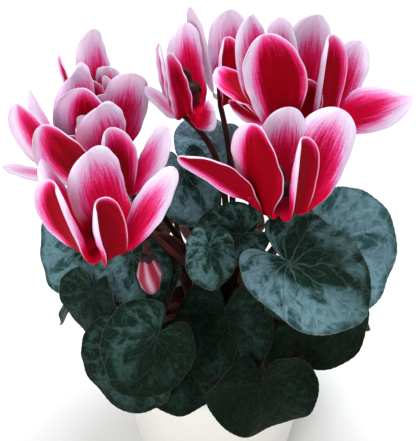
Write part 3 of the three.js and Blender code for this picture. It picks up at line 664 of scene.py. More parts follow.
def drain_holes():
    """Upright rods that are cut out of the pot's base."""
    rods = []
    for turn in np.arange(DRAIN_HOLES) + 0.5:
        middle = around(360 * turn / DRAIN_HOLES) * DRAIN_RING
        outline = [(DRAIN_RADIUS, -1), (DRAIN_RADIUS, POT["wall"] + 1)]
        rods.append(capped_rings(lathe(outline, 32, middle)))
    return together(*rods)


def cut(piece, body):
    """Cuts a body out of a piece and keeps the result as the piece's mesh."""
    points, faces = body
    tool_mesh = bpy.data.meshes.new("cutter")
    tool_mesh.from_pydata((points * MM).tolist(), [], faces)
    tool = bpy.data.objects.new("cutter", tool_mesh)
    bpy.context.scene.collection.objects.link(tool)
    cutter = piece.modifiers.new("holes", "BOOLEAN")
    cutter.operation, cutter.object, cutter.solver = "DIFFERENCE", tool, "EXACT"
    result = bpy.data.meshes.new_from_object(piece.evaluated_get(bpy.context.evaluated_depsgraph_get()))
    piece.modifiers.clear()
    piece.data = result
    bpy.data.objects.remove(tool)


pot = make_piece("pot_shell", capped_rings(lathe(pot_outline(), 128)), POT_FINISH, "pot", ["pot"], sharp=35)
cut(pot, drain_holes())
print("pot faces:", len(pot.data.polygons))

# %% Lumps
SOIL_EDGE, SOIL_MIDDLE, HEAP_RADIUS, CRUMB_REACH, TUBER_RADIUS = 86, 90, 40, 46, 23


def lumps(x, y, scale, seed):
    """Smooth bumps between about -1 and 1: a sum of waves in random directions."""
    waves = np.random.default_rng(seed)
    total = np.zeros_like(x)
    for power in (1.0, 0.6, 0.4, 0.3, 0.2):
        for _ in range(3):
            heading, phase = waves.uniform(0, 2 * np.pi, 2)
            pitch = waves.uniform(0.7, 1.4) * scale * power
            total += power / 3 * np.sin((x * np.cos(heading) + y * np.sin(heading)) / pitch + phase)
    return total / 1.5


print("highest lump in 20 mm:", lumps(*np.mgrid[0:20, 0:20].astype(float), 3.0, 3).max().round(2))

# %% Heap of compost
def soil_body():
    """Side wall and floor of the compost, and a crumbly top that rises toward the middle."""
    floor = POT["wall"] + GAP
    edge = pot_inside(SOIL_EDGE) - GAP
    side = [(0.01, floor), (pot_inside(5) - 2.5, floor), (pot_inside(20) - GAP, 20), (edge, SOIL_EDGE - 1)]
    radius = np.linspace(edge - 0.4, 0.01, 56)
    heap = [SOIL_MIDDLE - 1.4, SOIL_EDGE, SOIL_EDGE - 1.2]
    height = np.interp(radius, [TUBER_RADIUS, HEAP_RADIUS, edge], heap)
    rings = lathe(side + list(zip(radius, height)), 180)
    top = rings[len(side):]
    fade = np.clip((edge - radius) / 3, 0, 1)[:, None]
    x, y = top[..., 0], top[..., 1]
    top[..., 2] += fade * (0.8 * lumps(x, y, 3.0, 3) + 0.4 * lumps(x, y, 1.1, 5))
    return capped_rings(rings)


make_piece("soil_heap", soil_body(), SOIL_FINISH, "soil", ["soil"])
print("compost is", SOIL_EDGE, "to", SOIL_MIDDLE, "mm high")

# %% Crumbs
CRUMBS, SMALLEST, LARGEST = 900, 0.4, 1.3
draw = np.random.default_rng(7)


def crumbs(count, smallest, largest):
    """Small lumps on the compost: eight-sided stones, each stretched and turned at random."""
    corners = np.array([[1, 0, 0], [0, 1, 0], [-1, 0, 0], [0, -1, 0], [0, 0, 1], [0, 0, -1]], float)
    cell = [[0, 1, 4], [1, 2, 4], [2, 3, 4], [3, 0, 4], [1, 0, 5], [2, 1, 5], [3, 2, 5], [0, 3, 5]]
    radius = np.sqrt(draw.uniform((TUBER_RADIUS + 1) ** 2, CRUMB_REACH ** 2, count))
    turn = draw.uniform(0, 2 * np.pi, count)
    size = draw.uniform(smallest, largest, (count, 1, 1)) * draw.uniform(0.6, 1.3, (count, 6, 1))
    spin = draw.uniform(0, 2 * np.pi, count)
    level = np.interp(radius, [TUBER_RADIUS, HEAP_RADIUS], [SOIL_MIDDLE - 1.2, SOIL_EDGE])
    x = corners[:, 0] * np.cos(spin)[:, None] - corners[:, 1] * np.sin(spin)[:, None]
    y = corners[:, 0] * np.sin(spin)[:, None] + corners[:, 1] * np.cos(spin)[:, None]
    z = np.broadcast_to(corners[:, 2] * 0.8, x.shape)
    middle = np.stack([radius * np.cos(turn), radius * np.sin(turn), level], -1)
    points = middle[:, None] + size * np.stack([x, y, z], -1)
    faces = (np.array(cell)[None] + 6 * np.arange(count)[:, None, None]).reshape(-1, 3)
    return points.reshape(-1, 3), faces.tolist()


make_piece("soil_crumbs", crumbs(CRUMBS, SMALLEST, LARGEST), SOIL_FINISH, "soil", sharp=30)
print("crumbs:", CRUMBS)

# %% [markdown]
# ## Tuber and leaf stalks
#
# The tuber is a squat turned shape with a lumpy skin. Each leaf stalk leaves its shoulder, leans out,
# and turns up to meet its blade from below, so its path is a cubic curve with both ends given. Curve
# objects would do as well, but rods of our own let each point carry how far up the stalk it is.

# %% Tuber
TUBER = dict(bottom=72, top=101, crown=11)


def tuber_body():
    """Turned outline with lumps pushed out and in along the radius."""
    r, low, high = TUBER_RADIUS, TUBER["bottom"], TUBER["top"]
    outline = [(0.01, low), (r * 0.6, low + 1), (r * 0.95, low + 8), (r, low + 15), (r * 0.8, high - 5)]
    outline += [(TUBER["crown"], high), (0.01, high)]
    rings = lathe(divided(outline, 9), 120)
    wide = np.clip(np.linalg.norm(rings[..., :2], axis=-1) / 8, 0, 1)
    bump = lumps(rings[..., 0] + rings[..., 2], rings[..., 1] - rings[..., 2], 4.0, 11)
    rings[..., :2] *= (1 - 0.015 * wide + 0.015 * wide * bump)[..., None]
    rings[..., 2] -= 0.3 - 0.3 * bump * (rings[..., 2] > high - 1)
    return capped_rings(rings)


make_piece("tuber_body", tuber_body(), TUBER_FINISH, "tuber", ["tuber"])
print("tuber:", 2 * TUBER_RADIUS, "mm wide, top at", TUBER["top"], "mm")

# %% Leaf stalks
LEAF = dict(tip=0.74, half=0.54, lobe=0.46, fold=0.08, arch=0.1, wave=1.6, rise=38, sway=0)
STALK_STEPS, STALK_SIDES, STALK_FOOT, STALK_NECK = 40, 12, 1.7, 1.15
SHOULDER_RADIUS, SHOULDER_DEPTH, STALK_LEAN, BLADE_LEAD, BLADE_GAP = 12, 6.0, 6, 20, 0.5
leaves = [dict(LEAF, at=at, head=head, tilt=tilt, toward=toward, size=size, phase=40 * i, **own)
          for i, (at, head, tilt, toward, size, own) in enumerate(LEAVES)]


def cubic(start, first, second, end, count):
    """Points of a cubic curve that leaves start toward first and reaches end from second."""
    t = np.linspace(0, 1, count)[:, None]
    a, b, c, d = (1 - t) ** 3, 3 * t * (1 - t) ** 2, 3 * t * t * (1 - t), t ** 3
    return a * start + b * first + c * second + d * end


def outward_and_sideways(point):
    """Level directions away from the plant's axis at a point, and square to that."""
    outward = unit(np.array([point[0], point[1], 0.0]))
    return outward, np.cross([0, 0, 1], outward)


def leaf_axes(leaf):
    """Toward the tip, across, and out of the upper face."""
    out = tilted(leaf["tilt"], leaf["toward"])
    heading = around(leaf["head"])
    tip = unit(heading - (heading @ out) * out)
    return tip, np.cross(out, tip), out


def stalk_body(leaf):
    """Rod from the tuber's shoulder to the blade, thinner toward the blade."""
    out = leaf_axes(leaf)[2]
    end = np.array(leaf["at"]) - BLADE_GAP * out
    outward, sideways = outward_and_sideways(end)
    start = np.array([0, 0, TUBER["top"] - SHOULDER_DEPTH]) + SHOULDER_RADIUS * outward
    first = start + np.array([0, 0, leaf["rise"]]) + STALK_LEAN * outward + leaf["sway"] * sideways
    path = cubic(start, first, end - BLADE_LEAD * out + leaf["sway"] * sideways, end, STALK_STEPS)
    radii = np.linspace(STALK_FOOT, STALK_NECK, STALK_STEPS)
    radii[:4] += np.array([0.9, 0.5, 0.25, 0.1])
    return capped_rings(rod(path, radii, sideways + 0.3 * outward, STALK_SIDES))


stalks = together(*[stalk_body(leaf) for leaf in leaves])
up = np.tile(np.repeat(np.linspace(0, 1, STALK_STEPS), STALK_SIDES), len(leaves))
make_piece("leaf_stalks", stalks, STALK_FINISH, "tuber", up=up)
print("leaf stalks:", len(leaves))

# %% [markdown]
# ## Leaf blades
#
# A blade is drawn in polar form round the point where its stalk ends. The margin's distance depends on
# the angle from the tip, with a deep notch opposite the tip and small teeth all round. The blade folds
# up along the midrib, arches down toward the tip, waves at the margin, and dips along each main vein.
# One formula for all leaves keeps them kin, while each leaf's own numbers and phase make it differ.

# %% The margin of a leaf
LEAF_WAVES, TEETH, TOOTH_DEPTH = 4, 64, 0.003
SINUS_WIDTH, SINUS_DEPTH = 14, 0.74  # degrees, and share of the way in
CREASE, FRILL = 0.08, 0.012  # in leaf sizes
VEIN_DIP, VEIN_WIDTH, LEAF_THICKNESS, LEAF_THINNING = 0.6, 2.2, 0.7, 0.35


def leaf_reach(leaf, angle, share):
    """Distance from the stalk's end at an angle from the tip and a share of the way to the margin, in
    leaf sizes, and the notch: 1, and less opposite the tip.

    The margin runs from the tip's reach to the half width as the cosine's power 1.5 falls, and on to
    the lobes behind. Slow waves make it uneven, and teeth appear in the last part of the way out."""
    cosine = cos(angle)
    notch = 1 - SINUS_DEPTH * np.exp(-(((180 - np.abs(angle)) / SINUS_WIDTH) ** 2))
    spread = leaf["half"] + (leaf["tip"] - leaf["half"]) * np.clip(cosine, 0, None) ** 1.5
    spread = spread + (leaf["lobe"] - leaf["half"]) * np.clip(-cosine, 0, None)
    teeth = 1 - TOOTH_DEPTH * (1 + cos(TEETH * angle)) * notch * share ** 30
    uneven = 0.018 * sin(3 * angle + 2 * leaf["phase"]) + 0.011 * sin(7 * angle + leaf["phase"])
    point = 0.035 * np.exp(-((angle / 11) ** 2))
    return share * (spread * (1 + uneven) + point) * notch * teeth, notch


print("reach of the first leaf's tip:", leaf_reach(leaves[0], 0.0, 1.0)[0].round(2), "leaf sizes")

# %% The surface of a leaf
def leaf_body(leaf):
    """Closed blade, its flat coordinates, and each point's share of the way to the margin."""
    size, phase = leaf["size"], leaf["phase"]
    angle = np.linspace(180, -180, 241)[:-1]
    share = np.concatenate([[0.02, 0.06], np.linspace(0.12, 0.94, 22), [0.97, 0.985, 1.0]])[:, None]
    reach, notch = leaf_reach(leaf, angle, share)
    reach = reach * size
    x, y = reach * cos(angle), reach * sin(angle)
    crease = CREASE * size
    z = leaf["fold"] * (np.hypot(y, crease) - crease) - leaf["arch"] * x * x / size
    z = z + leaf["wave"] * (share * notch) ** 2 * sin(LEAF_WAVES * angle + phase)
    bent = np.radians(np.abs(angle)) * (1 + VEIN_BEND * share) / VEIN_ANGLE
    off = np.abs((bent + 0.5) % 1 - 0.5) * VEIN_ANGLE * reach
    dip = 1 - np.exp(-((off / VEIN_WIDTH) ** 2))
    z = z + VEIN_DIP * dip * smooth(share * 5) * smooth((1 - share) * 6)
    z = z + FRILL * size * share ** 3 * sin(11 * angle + 3 * phase)
    tip, across, out = leaf_axes(leaf)
    grid = np.array(leaf["at"]) + x[..., None] * tip + y[..., None] * across + z[..., None] * out
    thickness = np.broadcast_to(LEAF_THICKNESS - LEAF_THINNING * share ** 4, x.shape)
    flat = np.stack([x, y], -1).reshape(-1, 2) / size
    flat = np.concatenate([flat, flat, [[0, 0], [0, 0]]])
    shares = np.broadcast_to(share, x.shape).ravel()
    shares = np.concatenate([shares, shares, [0, 0]])
    outer = np.concatenate([np.ones(x.size), np.zeros(x.size), [1, 0]])
    return thin_sheet(grid, thickness, wrap=True), flat, shares, outer


print("points in a leaf:", len(leaf_body(leaves[0])[0][0]))

# %% Looks of the leaves, and their blades
LOOKS = [  # silver, painted lighting (low is painted shade), edge of the dark heart, edge of the silver ring, left half painted lighter and more silver and right half painted darker (the other way round when negative)
    (0.85, 1.00, 0.30, 0.95, 0.0), (0.70, 0.52, 0.48, 0.98, -0.9), (0.55, 0.55, 0.35, 0.95, -0.5),
    (0.40, 0.42, 0.40, 0.90, 0.0), (0.80, 0.75, 0.30, 0.90, -0.5), (1.00, 1.00, 0.10, 1.10, 0.0),
    (0.50, 0.50, 0.30, 0.90, 0.0), (0.80, 0.90, 0.25, 0.95, 0.0), (0.60, 0.50, 0.35, 0.90, -1.0),
    (0.15, 0.38, 0.40, 0.90, -0.2), (0.24, 0.34, 0.40, 0.78, -0.7), (0.30, 0.30, 0.30, 0.90, 0.0),
    (0.12, 0.15, 0.30, 0.90, 0.0), (0.15, 0.30, 0.30, 0.90, 0.0), (0.0, 0.06, 0.45, 0.85, 0.3),
    (0.15, 0.34, 0.30, 0.90, 1.5), (0.12, 0.14, 0.40, 0.90, 0.2)]
PLAIN_LOOK = (0.5, 0.8, 0.3, 0.9, 0.0)  # of the leaves at the back


def leaf_look(look, flat):
    """A leaf's colour values at each point, its painted lighting among them; the last number of the look
    paints one half lighter and more silver and the other half darker, as painted light and shade.
    """
    silver, tone, heart, reach, more = look
    # painted light and shade on the two halves: silver, lighting and the dark heart shift from one side of
    # the midrib to the other
    side = np.clip(flat[:, 1] / 0.22, -1, 1) * more
    return dict(silver=np.clip(silver + 0.15 * side, 0, 1), tone=np.clip(tone + 0.25 * side, 0, 1),
                heart=heart - 0.2 * side, reach=np.full(len(flat), reach))


looks = LOOKS + [PLAIN_LOOK] * (len(leaves) - len(LOOKS))
for number, (leaf, look) in enumerate(zip(leaves, looks), 1):
    body, flat, shares, outer = leaf_body(leaf)
    make_piece(f"blade_{number:02d}", body, LEAF_FINISH, "leaf", [f"leaf_{number:02d}"], uv=flat,
               share=shares, outer=outer, **leaf_look(look, flat))
print("leaf blades:", len(leaves))

# %% [markdown]
# ## Petals
#
# A petal's middle line starts at the mouth, heads down the bloom's axis, turns right round and climbs
# along its lean. Its half width grows from a narrow claw to the widest place at six tenths of the
# length and closes in a round tip. Across, the petal is an arc whose margins bend outward, rolled
# further over on some, and ruffled a little. Sculpting could give these folds as well. A line with a
# turning cross section is chosen because each petal then follows from six numbers.

# %% The middle line of a petal
CLAW, CLAW_HALF_WIDTH, THROAT_RADIUS, WIDEST, LINE_STEPS = 9, 2.8, 3.4, 0.6, 200
STEM = dict(sway=0, rise=60, drop=36)
blooms = [dict(STEM, **bloom) for bloom in BLOOMS]


def bloom_axes(bloom):
    """Up along the bloom's axis, and two directions square to it."""
    up = tilted(bloom["tilt"], bloom["toward"])
    right = unit(np.array([1.0, 0, 0]) - up[0] * up)
    return up, right, np.cross(up, right)


def petal_line(bloom, petal, share):
    """Middle line, side direction and outward direction at shares of the petal's length.

    The heading turns from straight down to the lean over the length of the claw, and on by the arch.
    The line adds up steps along the heading. The side then turns round the line by the twist."""
    up, right, back = bloom_axes(bloom)
    cosine, sine = cos(petal["az"]), sin(petal["az"])
    radial, left = cosine * right + sine * back, cosine * back - sine * right
    length = petal["long"] + CLAW
    run = np.linspace(0, 1, LINE_STEPS + 1)
    past = np.clip((run * length - CLAW) / petal["long"], 0, 1)
    heading = -90 + (180 - petal["lean"]) * smooth(run * length / (CLAW + 4)) + petal["arch"] * past
    heading = heading[:, None]
    step = (cos(heading) * radial + sin(heading) * up) * length / LINE_STEPS
    walked = np.concatenate([[[0, 0, 0]], np.cumsum(step[:-1], 0)])
    at = np.array(bloom["at"]) + radial * THROAT_RADIUS + walked
    out = sin(heading) * radial - cos(heading) * up
    turn = (petal["twist"] * smooth(run / 0.5))[:, None]
    side, outward = cos(turn) * left + sin(turn) * out, cos(turn) * out - sin(turn) * left
    at, side, outward = (np.stack([np.interp(share, run, c) for c in v.T], -1) for v in (at, side, outward))
    return at, unit(side), unit(outward)


def petal_half_width(petal, share):
    """Narrow claw, broad blade and round tip: a quarter sine wave, then a quarter circle."""
    rise = np.sin(np.pi / 2 * np.minimum(share / WIDEST, 1)) ** 1.2
    past = np.maximum((share - WIDEST) / (1 - WIDEST), 0)
    return (CLAW_HALF_WIDTH + (petal["wide"] - CLAW_HALF_WIDTH) * rise) * np.sqrt(1 - past ** 2)


print("a petal 46 mm long is widest", round(WIDEST * (46 + CLAW)), "mm from the mouth")

# %% Rolls and colours of the petals
CUP = 18  # degrees that the arc across a petal turns on each side
RUFFLE, CRIMP, RIB = 0.5, 0.25, 0.12
WAVER = 0.05  # share of the half width
PETAL_THICKNESS, PETAL_THINNING = 0.65, 0.3
ROLL, LEFT, RIGHT = (25, 25), (115, 20), (20, 115)  # degrees that the two margins roll over
ROLLS = {(2, 1): LEFT, (4, 2): RIGHT, (4, 3): LEFT, (5, 2): RIGHT, (6, 2): LEFT, (8, 1): LEFT,
         (8, 3): (0, 0), (9, 1): (-40, 25), (9, 3): LEFT}
MARGIN = 0.3  # how much pale margin a petal has on its broad side
WIDE_MARGINS = {(1, 2): 0.6, (2, 1): 0.5, (2, 3): 0.45, (3, 0): 0.6, (7, 1): 0.5, (9, 0): 0.35, (9, 1): 0.6}
PALENESS_AND_PAINTED_LIGHT = [  # how much paler each bloom's five petals are: partly their own colour and partly painted light, with back petals painted lighter and a few petals painted darker as painted shade
    (0.12, 0, 0, 0.1, 0), (0.05, 0.1, 0.05, 0, 0), (0.05, 0.1, 0.15, -0.03, 0), (0.12, 0.3, 0.45, 0, 0),
    (-0.02, 0, -0.1, -0.15, 0.12), (0, 0, 0.1, 0.45, 0), (0.12, 0.6, -0.05, 0, 0),
    (-0.25, 0, -0.1, 0, -0.1), (0.08, 0, 0, 0, 0), (-0.2, -0.12, 0, -0.16, -0.02)]
print("petals with margins of their own:", len(ROLLS) + len(WIDE_MARGINS))

# %% The surface of a petal
def added_up(slope, across):
    """A slope added up along the rows of a grid, from 0 in the middle column."""
    strips = (slope[:, 1:] + slope[:, :-1]) / 2 * np.diff(across)
    total = np.concatenate([np.zeros((len(slope), 1)), np.cumsum(strips, 1)], 1)
    middle = len(across) // 2
    return total - total[:, middle:middle + 1]


def wave(turns):
    """Sine wave of a number of turns."""
    return np.sin(2 * np.pi * turns)


def petal_body(bloom, petal, seed):
    """Closed petal, its UV coordinates, and each point's place across it and along it.

    The bend across is a cup plus a roll near each margin. Adding up its cosine and sine gives how far
    sideways and outward each point lies. Ruffles and ribs move it along the surface's normal."""
    tip = WIDEST + (1 - WIDEST) * sin(np.linspace(0, 87, 20))
    share = np.concatenate([np.linspace(0, WIDEST, 36), tip[1:]])
    across = np.sin(np.linspace(-np.pi / 2, np.pi / 2, 31)) * 0.35 + np.linspace(-1, 1, 31) * 0.65
    at, side, outward = petal_line(bloom, petal, share)
    down = share[:, None]
    swing = wave(1.25 * down + 0.29 * seed + 0.21 * np.sign(across))
    half = petal_half_width(petal, share)[:, None]
    half = half * (1 + WAVER * np.abs(across) * swing * smooth(down / 0.5))
    grown = smooth(down / 0.35) * smooth((1 - down) / 0.1 + 0.3)
    left_roll, right_roll = petal["roll"]
    roll = right_roll * smooth((across - 0.5) / 0.5) - left_roll * smooth((-across - 0.5) / 0.5)
    bend = CUP * across + grown * roll
    sideways, depth = added_up(cos(bend), across), added_up(sin(bend), across)
    ruffle = RUFFLE * across ** 2 * wave(1.6 * down + 0.37 * seed) * grown
    ruffle = ruffle + CRIMP * np.abs(across) ** 3 * wave(5.1 * down + 0.21 * seed) * grown
    ribs = RIB * np.cos(3.5 * np.pi * across) * grown
    normal = cos(bend)[..., None] * outward[:, None] - sin(bend)[..., None] * side[:, None]
    grid = at[:, None] + (half * sideways)[..., None] * side[:, None]
    grid = grid + (half * depth)[..., None] * outward[:, None] + (ruffle + ribs)[..., None] * normal
    body = thin_sheet(grid, PETAL_THICKNESS - PETAL_THINNING * np.abs(across) ** 3 + 0 * down)
    flat = np.stack(np.broadcast_arrays(across * 0.5 + 0.5 + seed * 0.37, down + seed * 0.11), -1)
    across, along = np.broadcast_arrays(across, down)
    return body, np.tile(flat.reshape(-1, 2), (2, 1)), np.tile(across.ravel(), 2), np.tile(along.ravel(), 2)


print("a quarter turn of a wave is", wave(0.25))

# %% Petals
for number, bloom in enumerate(blooms):
    bodies, flats, values = [], [], []
    for k, row in enumerate(bloom["petals"]):
        petal = dict(zip(PETAL_COLUMNS, row), roll=ROLLS.get((number, k), ROLL))
        body, flat, across, along = petal_body(bloom, petal, 5 * number + k)
        face = np.repeat([1, 0], len(flat) // 2)
        margin = WIDE_MARGINS.get((number, k), MARGIN)
        bodies.append(body)
        flats.append(flat)
        values.append(np.broadcast_arrays(across, along, face, margin, PALENESS_AND_PAINTED_LIGHT[number][k]))
    across, along, outer, margin, pale = np.concatenate(values, 1)
    make_piece(f"petals_{number + 1:02d}", together(*bodies), PETAL_FINISH, "petal",
               [f"bloom_{number + 1:02d}"], uv=np.concatenate(flats), across=across, along=along,
               outer=outer, wide_margin=margin, pale=pale)
print("petals:", sum(len(bloom["petals"]) for bloom in blooms))

# %% [markdown]
# ## Throat, calyx and flower stem
#
# The petals come out of a short round throat. On its closed end sit five pointed sepals, and the stem
# hooks over to hold them. From the side the stem is seen to rise between two petals. The throat is
# turned like a pot, because it is round. The sepals are one sheet over it whose length swings five
# times round, and the stem is a rod along a path of four stretches.

# %% Throats
THROAT_HEIGHT = 8


def on_bloom(bloom, rings):
    """Places rings that were made round the Z axis on a bloom's axis."""
    up, right, back = bloom_axes(bloom)
    return np.array(bloom["at"]) + rings @ np.stack([right, back, up])


def throat_body(bloom):
    """Round cup, open at the mouth, with the style standing a little out of it."""
    outside = [(3.0, -0.4), (3.7, -0.7), (4.5, 0.3), (5.0, 2.6), (5.0, 4.4), (4.3, 6.6), (3.0, 7.8),
               (0.01, THROAT_HEIGHT)]
    inside = [(0.01, 5.2), (1.6, 4.9), (2.2, 2.8), (2.4, 0.6)]
    wall = lathe(divided(inside + outside, 3), 30)
    style = lathe(divided([(0.01, -1.8), (0.4, -1.6), (0.45, 2.0), (0.5, 5.0)], 3), 8)
    return together(*[capped_rings(on_bloom(bloom, rings)) for rings in (wall, style)])


for number, bloom in enumerate(blooms, 1):
    make_piece(f"throat_{number:02d}", throat_body(bloom), THROAT_FINISH, "petal")
print("throats:", len(blooms))

# %% Where the flower stems stand
HOOK_RADIUS, HOOK_DEPTH, CROWN_STEM_RADIUS = 4, 7, 8
standing = [*blooms, *BUDS]


def azimuth_of(item):
    """Where round the plant the stem of a bloom or bud enters it."""
    entry = np.array(item["at"]) + 2 * HOOK_RADIUS * around(item.get("gap", 0))
    return np.degrees(np.arctan2(entry[1], entry[0]))


azimuths = np.array([azimuth_of(item) for item in standing])
order = np.argsort(np.argsort(azimuths))
feet = np.array([0, 0, TUBER["top"] + 0.2]) + CROWN_STEM_RADIUS * np.array(
    [around(azimuths.min() + 360 * place / len(standing)) for place in order])
print("stems stand", round(360 / len(standing)), "degrees apart on the crown")

# %% The path of a flower stem
STEM_SIDES, STEM_RADIUS = 14, 1.8


def stem_path(bloom, start):
    """Up from the crown, in between two petals, over in a half circle, and down onto the throat."""
    up, right, back = bloom_axes(bloom)
    mouth = np.array(bloom["at"], float)
    gap_side = cos(bloom["gap"]) * right + sin(bloom["gap"]) * back
    beside = mouth + 2 * HOOK_RADIUS * gap_side
    entry = beside - HOOK_DEPTH * up
    sideways = bloom["sway"] * outward_and_sideways(entry)[1]
    leaning = start + [0, 0, bloom["rise"]] + sideways
    rise = cubic(start, leaning, entry - bloom["drop"] * up + sideways, entry, 60)
    hook_height = THROAT_HEIGHT + GAP + 3.6
    straight = beside + np.linspace(-HOOK_DEPTH, hook_height, 12)[1:-1, None] * up
    bend = np.linspace(0, 180, 25)[:, None]
    hook = mouth + HOOK_RADIUS * (1 + cos(bend)) * gap_side + (hook_height + HOOK_RADIUS * sin(bend)) * up
    drop = mouth + np.linspace(hook_height, THROAT_HEIGHT, 5)[1:, None] * up
    return np.concatenate([rise, straight, hook, drop]), np.cross(up, gap_side)


lengths = [np.linalg.norm(np.diff(stem_path(*pair)[0], axis=0), axis=1).sum() for pair in zip(blooms, feet)]
print("stems are", round(min(lengths)), "to", round(max(lengths)), "mm long")

# %% Calyxes
LOBE_TURN = np.arange(0, 360, 6)[None]
LOBE_SHARE = np.linspace(0.02, 1, 14)[:, None]


def lobed_cap(item, radius, height, way=1):
    """Sheet of five lobes laid over a throat or a bud, from its radius and height at each point."""
    rings = np.stack([radius * cos(LOBE_TURN), way * radius * sin(LOBE_TURN), height + 0 * LOBE_TURN], -1)
    return thin_sheet(on_bloom(item, rings), 0.45 - 0.2 * LOBE_SHARE + 0 * LOBE_TURN, wrap=True)


def sepals(bloom):
    """Five pointed lobes: a ring whose length swings five times round, laid over the throat."""
    lobe = 0.3 + 0.7 * np.abs(cos(2.5 * LOBE_TURN)) ** 0.9
    down = LOBE_SHARE * (0.5 + 0.45 * lobe)
    radius = 1.2 + 3.9 * np.sin(np.pi / 2 * np.clip(down * 1.15, 0, 1)) ** 0.9 + 0.25 * LOBE_SHARE ** 3
    return lobed_cap(bloom, radius, THROAT_HEIGHT + 1.9 - 6.2 * down ** 1.7, -1)


print("points in a calyx:", len(sepals(blooms[0])[0]))

# %% Flower stems
def make_stem(name, replaced, path, across, radii, lobes, lobe_up, lobe_calyx):
    """One mesh of a stem and its calyx, with how far up it each point lies and how much is calyx."""
    stem = capped_rings(rod(path, radii, across, STEM_SIDES))
    up = np.repeat(np.linspace(0, 1, len(path)) ** 2, STEM_SIDES)
    count = len(lobes[0])
    calyx = np.repeat([0.0, lobe_calyx], [len(up), count])
    up = np.concatenate([up, np.full(count, lobe_up)])
    make_piece(name, together(stem, lobes), STEM_FINISH, "stem", [replaced], up=up, calyx=calyx)


for number, bloom in enumerate(blooms):
    path, across = stem_path(bloom, feet[number])
    share = np.linspace(0, 1, len(path))
    radii = STEM_RADIUS - 0.55 * smooth(share) + 0.5 * np.exp(-share / 0.02)
    radii[-4:] += np.array([0.1, 0.35, 0.8, 1.3])
    make_stem(f"stem_{number + 1:02d}", f"flower_stem_{number + 1:02d}", path, across, radii,
              sepals(bloom), 0.7, 0.8)
print("flower stems:", len(blooms))

# %% [markdown]
# ## The bud
#
# A bud hangs point down. Its petals are furled into a spiral, so the spindle has five shallow folds
# that wind round it. Five separate petals would hardly show here, so the folds are a swing in the
# spindle's radius.

# %% Furled petals
BUD_WIND = 0.7
BUD_OUTLINE = [  # shares of the length and of the half width
    (0, 0.3), (0.05, 0.42), (0.2, 0.66), (0.5, 0.97), (0.8, 0.74), (0.95, 0.36), (1, 0.03)]


def bud_body(bud):
    """Spindle with five winding folds, its coordinates, and how deep in a fold each point lies."""
    share = np.linspace(0, 1, 60)[:, None]
    turn = np.radians(np.arange(72) * 5)[None]
    places, widths = np.array(BUD_OUTLINE).T
    winding = turn + BUD_WIND * share
    fold = np.abs(np.cos(2.5 * winding))
    radius = np.interp(share, places, widths * bud["wide"]) * (0.88 + 0.12 * fold)
    rings = np.stack([radius * np.cos(turn), radius * np.sin(turn), share * bud["long"] + 0 * turn], -1)
    flat = np.stack(np.broadcast_arrays(winding * 0.8, share), -1).reshape(-1, 2)
    along = np.broadcast_to(share, fold.shape).ravel()
    return capped_rings(on_bloom(bud, rings)), flat, along, (1 - fold).ravel()


for number, bud in enumerate(BUDS, 1):
    body, flat, along, furl = bud_body(bud)
    make_piece(f"furled_petals_{number:02d}", body, BUD_FINISH, "bud", [f"bud_{number:02d}"], uv=flat,
               along=along, furl=furl)
print("buds:", len(BUDS))

# %% The stem and calyx of the bud
NECK, BEND_OUT, BEND_HEIGHT = 6, 14, 8


def bud_stem_path(bud, start):
    """Up from the crown, over in a bend, and down into the bud."""
    up = bloom_axes(bud)[0]
    foot = np.array(bud["at"]) - GAP * up
    neck = foot - NECK * up
    bend = neck - BEND_OUT * around(bud["bend"]) + [0, 0, BEND_HEIGHT]
    sideways = bud["sway"] * outward_and_sideways(bend)[1]
    below = bend - [0, 0, BEND_HEIGHT] + sideways
    rise = cubic(start, start + [0, 0, 0.7 * STEM["rise"]] + sideways, below, bend, 50)
    over = cubic(bend, bend + [0, 0, 7], neck - 8 * up, neck, 20)
    drop = np.linspace(neck, foot + 0.5 * up, 6)
    return np.concatenate([rise, over[1:], drop[1:]]), np.cross(up, around(bud["bend"]))


def bud_sepals(bud):
    """Five pointed lobes that clasp the foot of the bud."""
    down = LOBE_SHARE * (0.6 + 0.4 * np.abs(cos(2.5 * LOBE_TURN)) ** 0.8)
    radius = bud["wide"] * (0.18 + 0.36 * np.sin(np.pi / 2 * np.clip(down * 1.5, 0, 1)) ** 0.9) + 0.2
    return lobed_cap(bud, radius, -1.6 + 4.4 * down ** 1.3)


for number, bud in enumerate(BUDS, 1):
    path, across = bud_stem_path(bud, feet[len(blooms) + number - 1])
    radii = STEM_RADIUS - 0.5 * smooth(np.linspace(0, 1, len(path)))
    radii[-3:] += np.array([0.1, 0.3, 0.6])
    make_stem(f"hanging_stem_{number:02d}", f"bud_stem_{number:02d}", path, across, radii,
              bud_sepals(bud), 0.3, 1.0)
print("bud stems:", len(BUDS))

# %% [markdown]
# ## Camera, light and floor
#
# The photograph looks down at the plant at 40 degrees. A large soft light hangs overhead and a little
# behind, so upper faces catch a cool sheen. The leaves low in front are dark mostly from painted shade
# in their finish. Area lights are used because a sun or a point would draw hard shadows that a studio
# doesn't have.

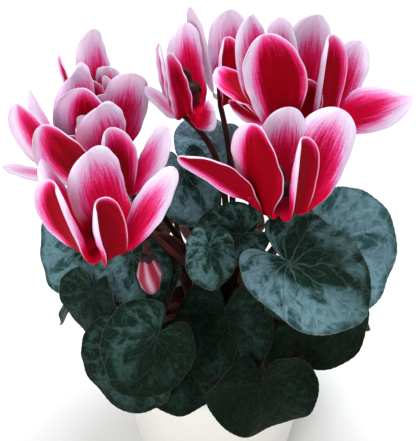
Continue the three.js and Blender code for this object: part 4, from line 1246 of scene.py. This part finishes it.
# %% Camera
ELEVATION, DISTANCE, TARGET = 40.0, 0.7, np.array([-0.004, 0.035, 0.144])
SENSOR, FOCAL_PIXELS, PHOTO_PIXELS = 36, 1273, 441  # focal length and height of the photograph


def aim(holder, position, target):
    """Turns a camera or light at a position toward a target."""
    holder.location = position
    holder.rotation_euler = Vector(target - np.asarray(position)).to_track_quat("-Z", "Y").to_euler()


camera = bpy.data.objects.new("camera", bpy.data.cameras.new("camera"))
bpy.context.scene.collection.objects.link(camera)
camera.data.lens = SENSOR * FOCAL_PIXELS / PHOTO_PIXELS
camera.data.sensor_width = SENSOR
aim(camera, TARGET + DISTANCE * np.array([0, -cos(ELEVATION), sin(ELEVATION)]), TARGET)
bpy.context.scene.camera = camera
print("lens:", round(camera.data.lens), "mm")

# %% Lights and floor
def soft_light(name, position, size, power, colour):
    """Square area light aimed at the middle of the plant."""
    lamp = bpy.data.lights.new(name, "AREA")
    lamp.shape, lamp.size, lamp.energy, lamp.color = "SQUARE", size, power, colour
    holder = bpy.data.objects.new(name, lamp)
    bpy.context.scene.collection.objects.link(holder)
    aim(holder, np.array(position), np.array([0, 0, 0.18]))


soft_light("overhead", (0.10, 0.30, 1.15), 0.6, 11.5, (0.93, 0.97, 1.0))
soft_light("front", (-0.45, -1.1, 0.75), 0.5, 8.5, (1.0, 0.99, 0.97))
world = bpy.data.worlds.new("studio")
world.use_nodes = True
world.node_tree.nodes["Background"].inputs["Color"].default_value = (1.0, 1.0, 1.0, 1.0)
world.node_tree.nodes["Background"].inputs["Strength"].default_value = 0.6
bpy.context.scene.world = world
bpy.context.scene.view_settings.view_transform = "Standard"

floor_mesh = bpy.data.meshes.new("floor")
floor_mesh.from_pydata([(-4, -4, 0), (4, -4, 0), (4, 4, 0), (-4, 4, 0)], [], [(0, 1, 2, 3)])
floor_mesh.materials.append(Finish("floor", 0.9).colour((0.85, 0.85, 0.85)))
floor = bpy.data.objects.new("floor", floor_mesh)
bpy.context.scene.collection.objects.link(floor)
print("floor:", round(floor.dimensions.x), "m wide")
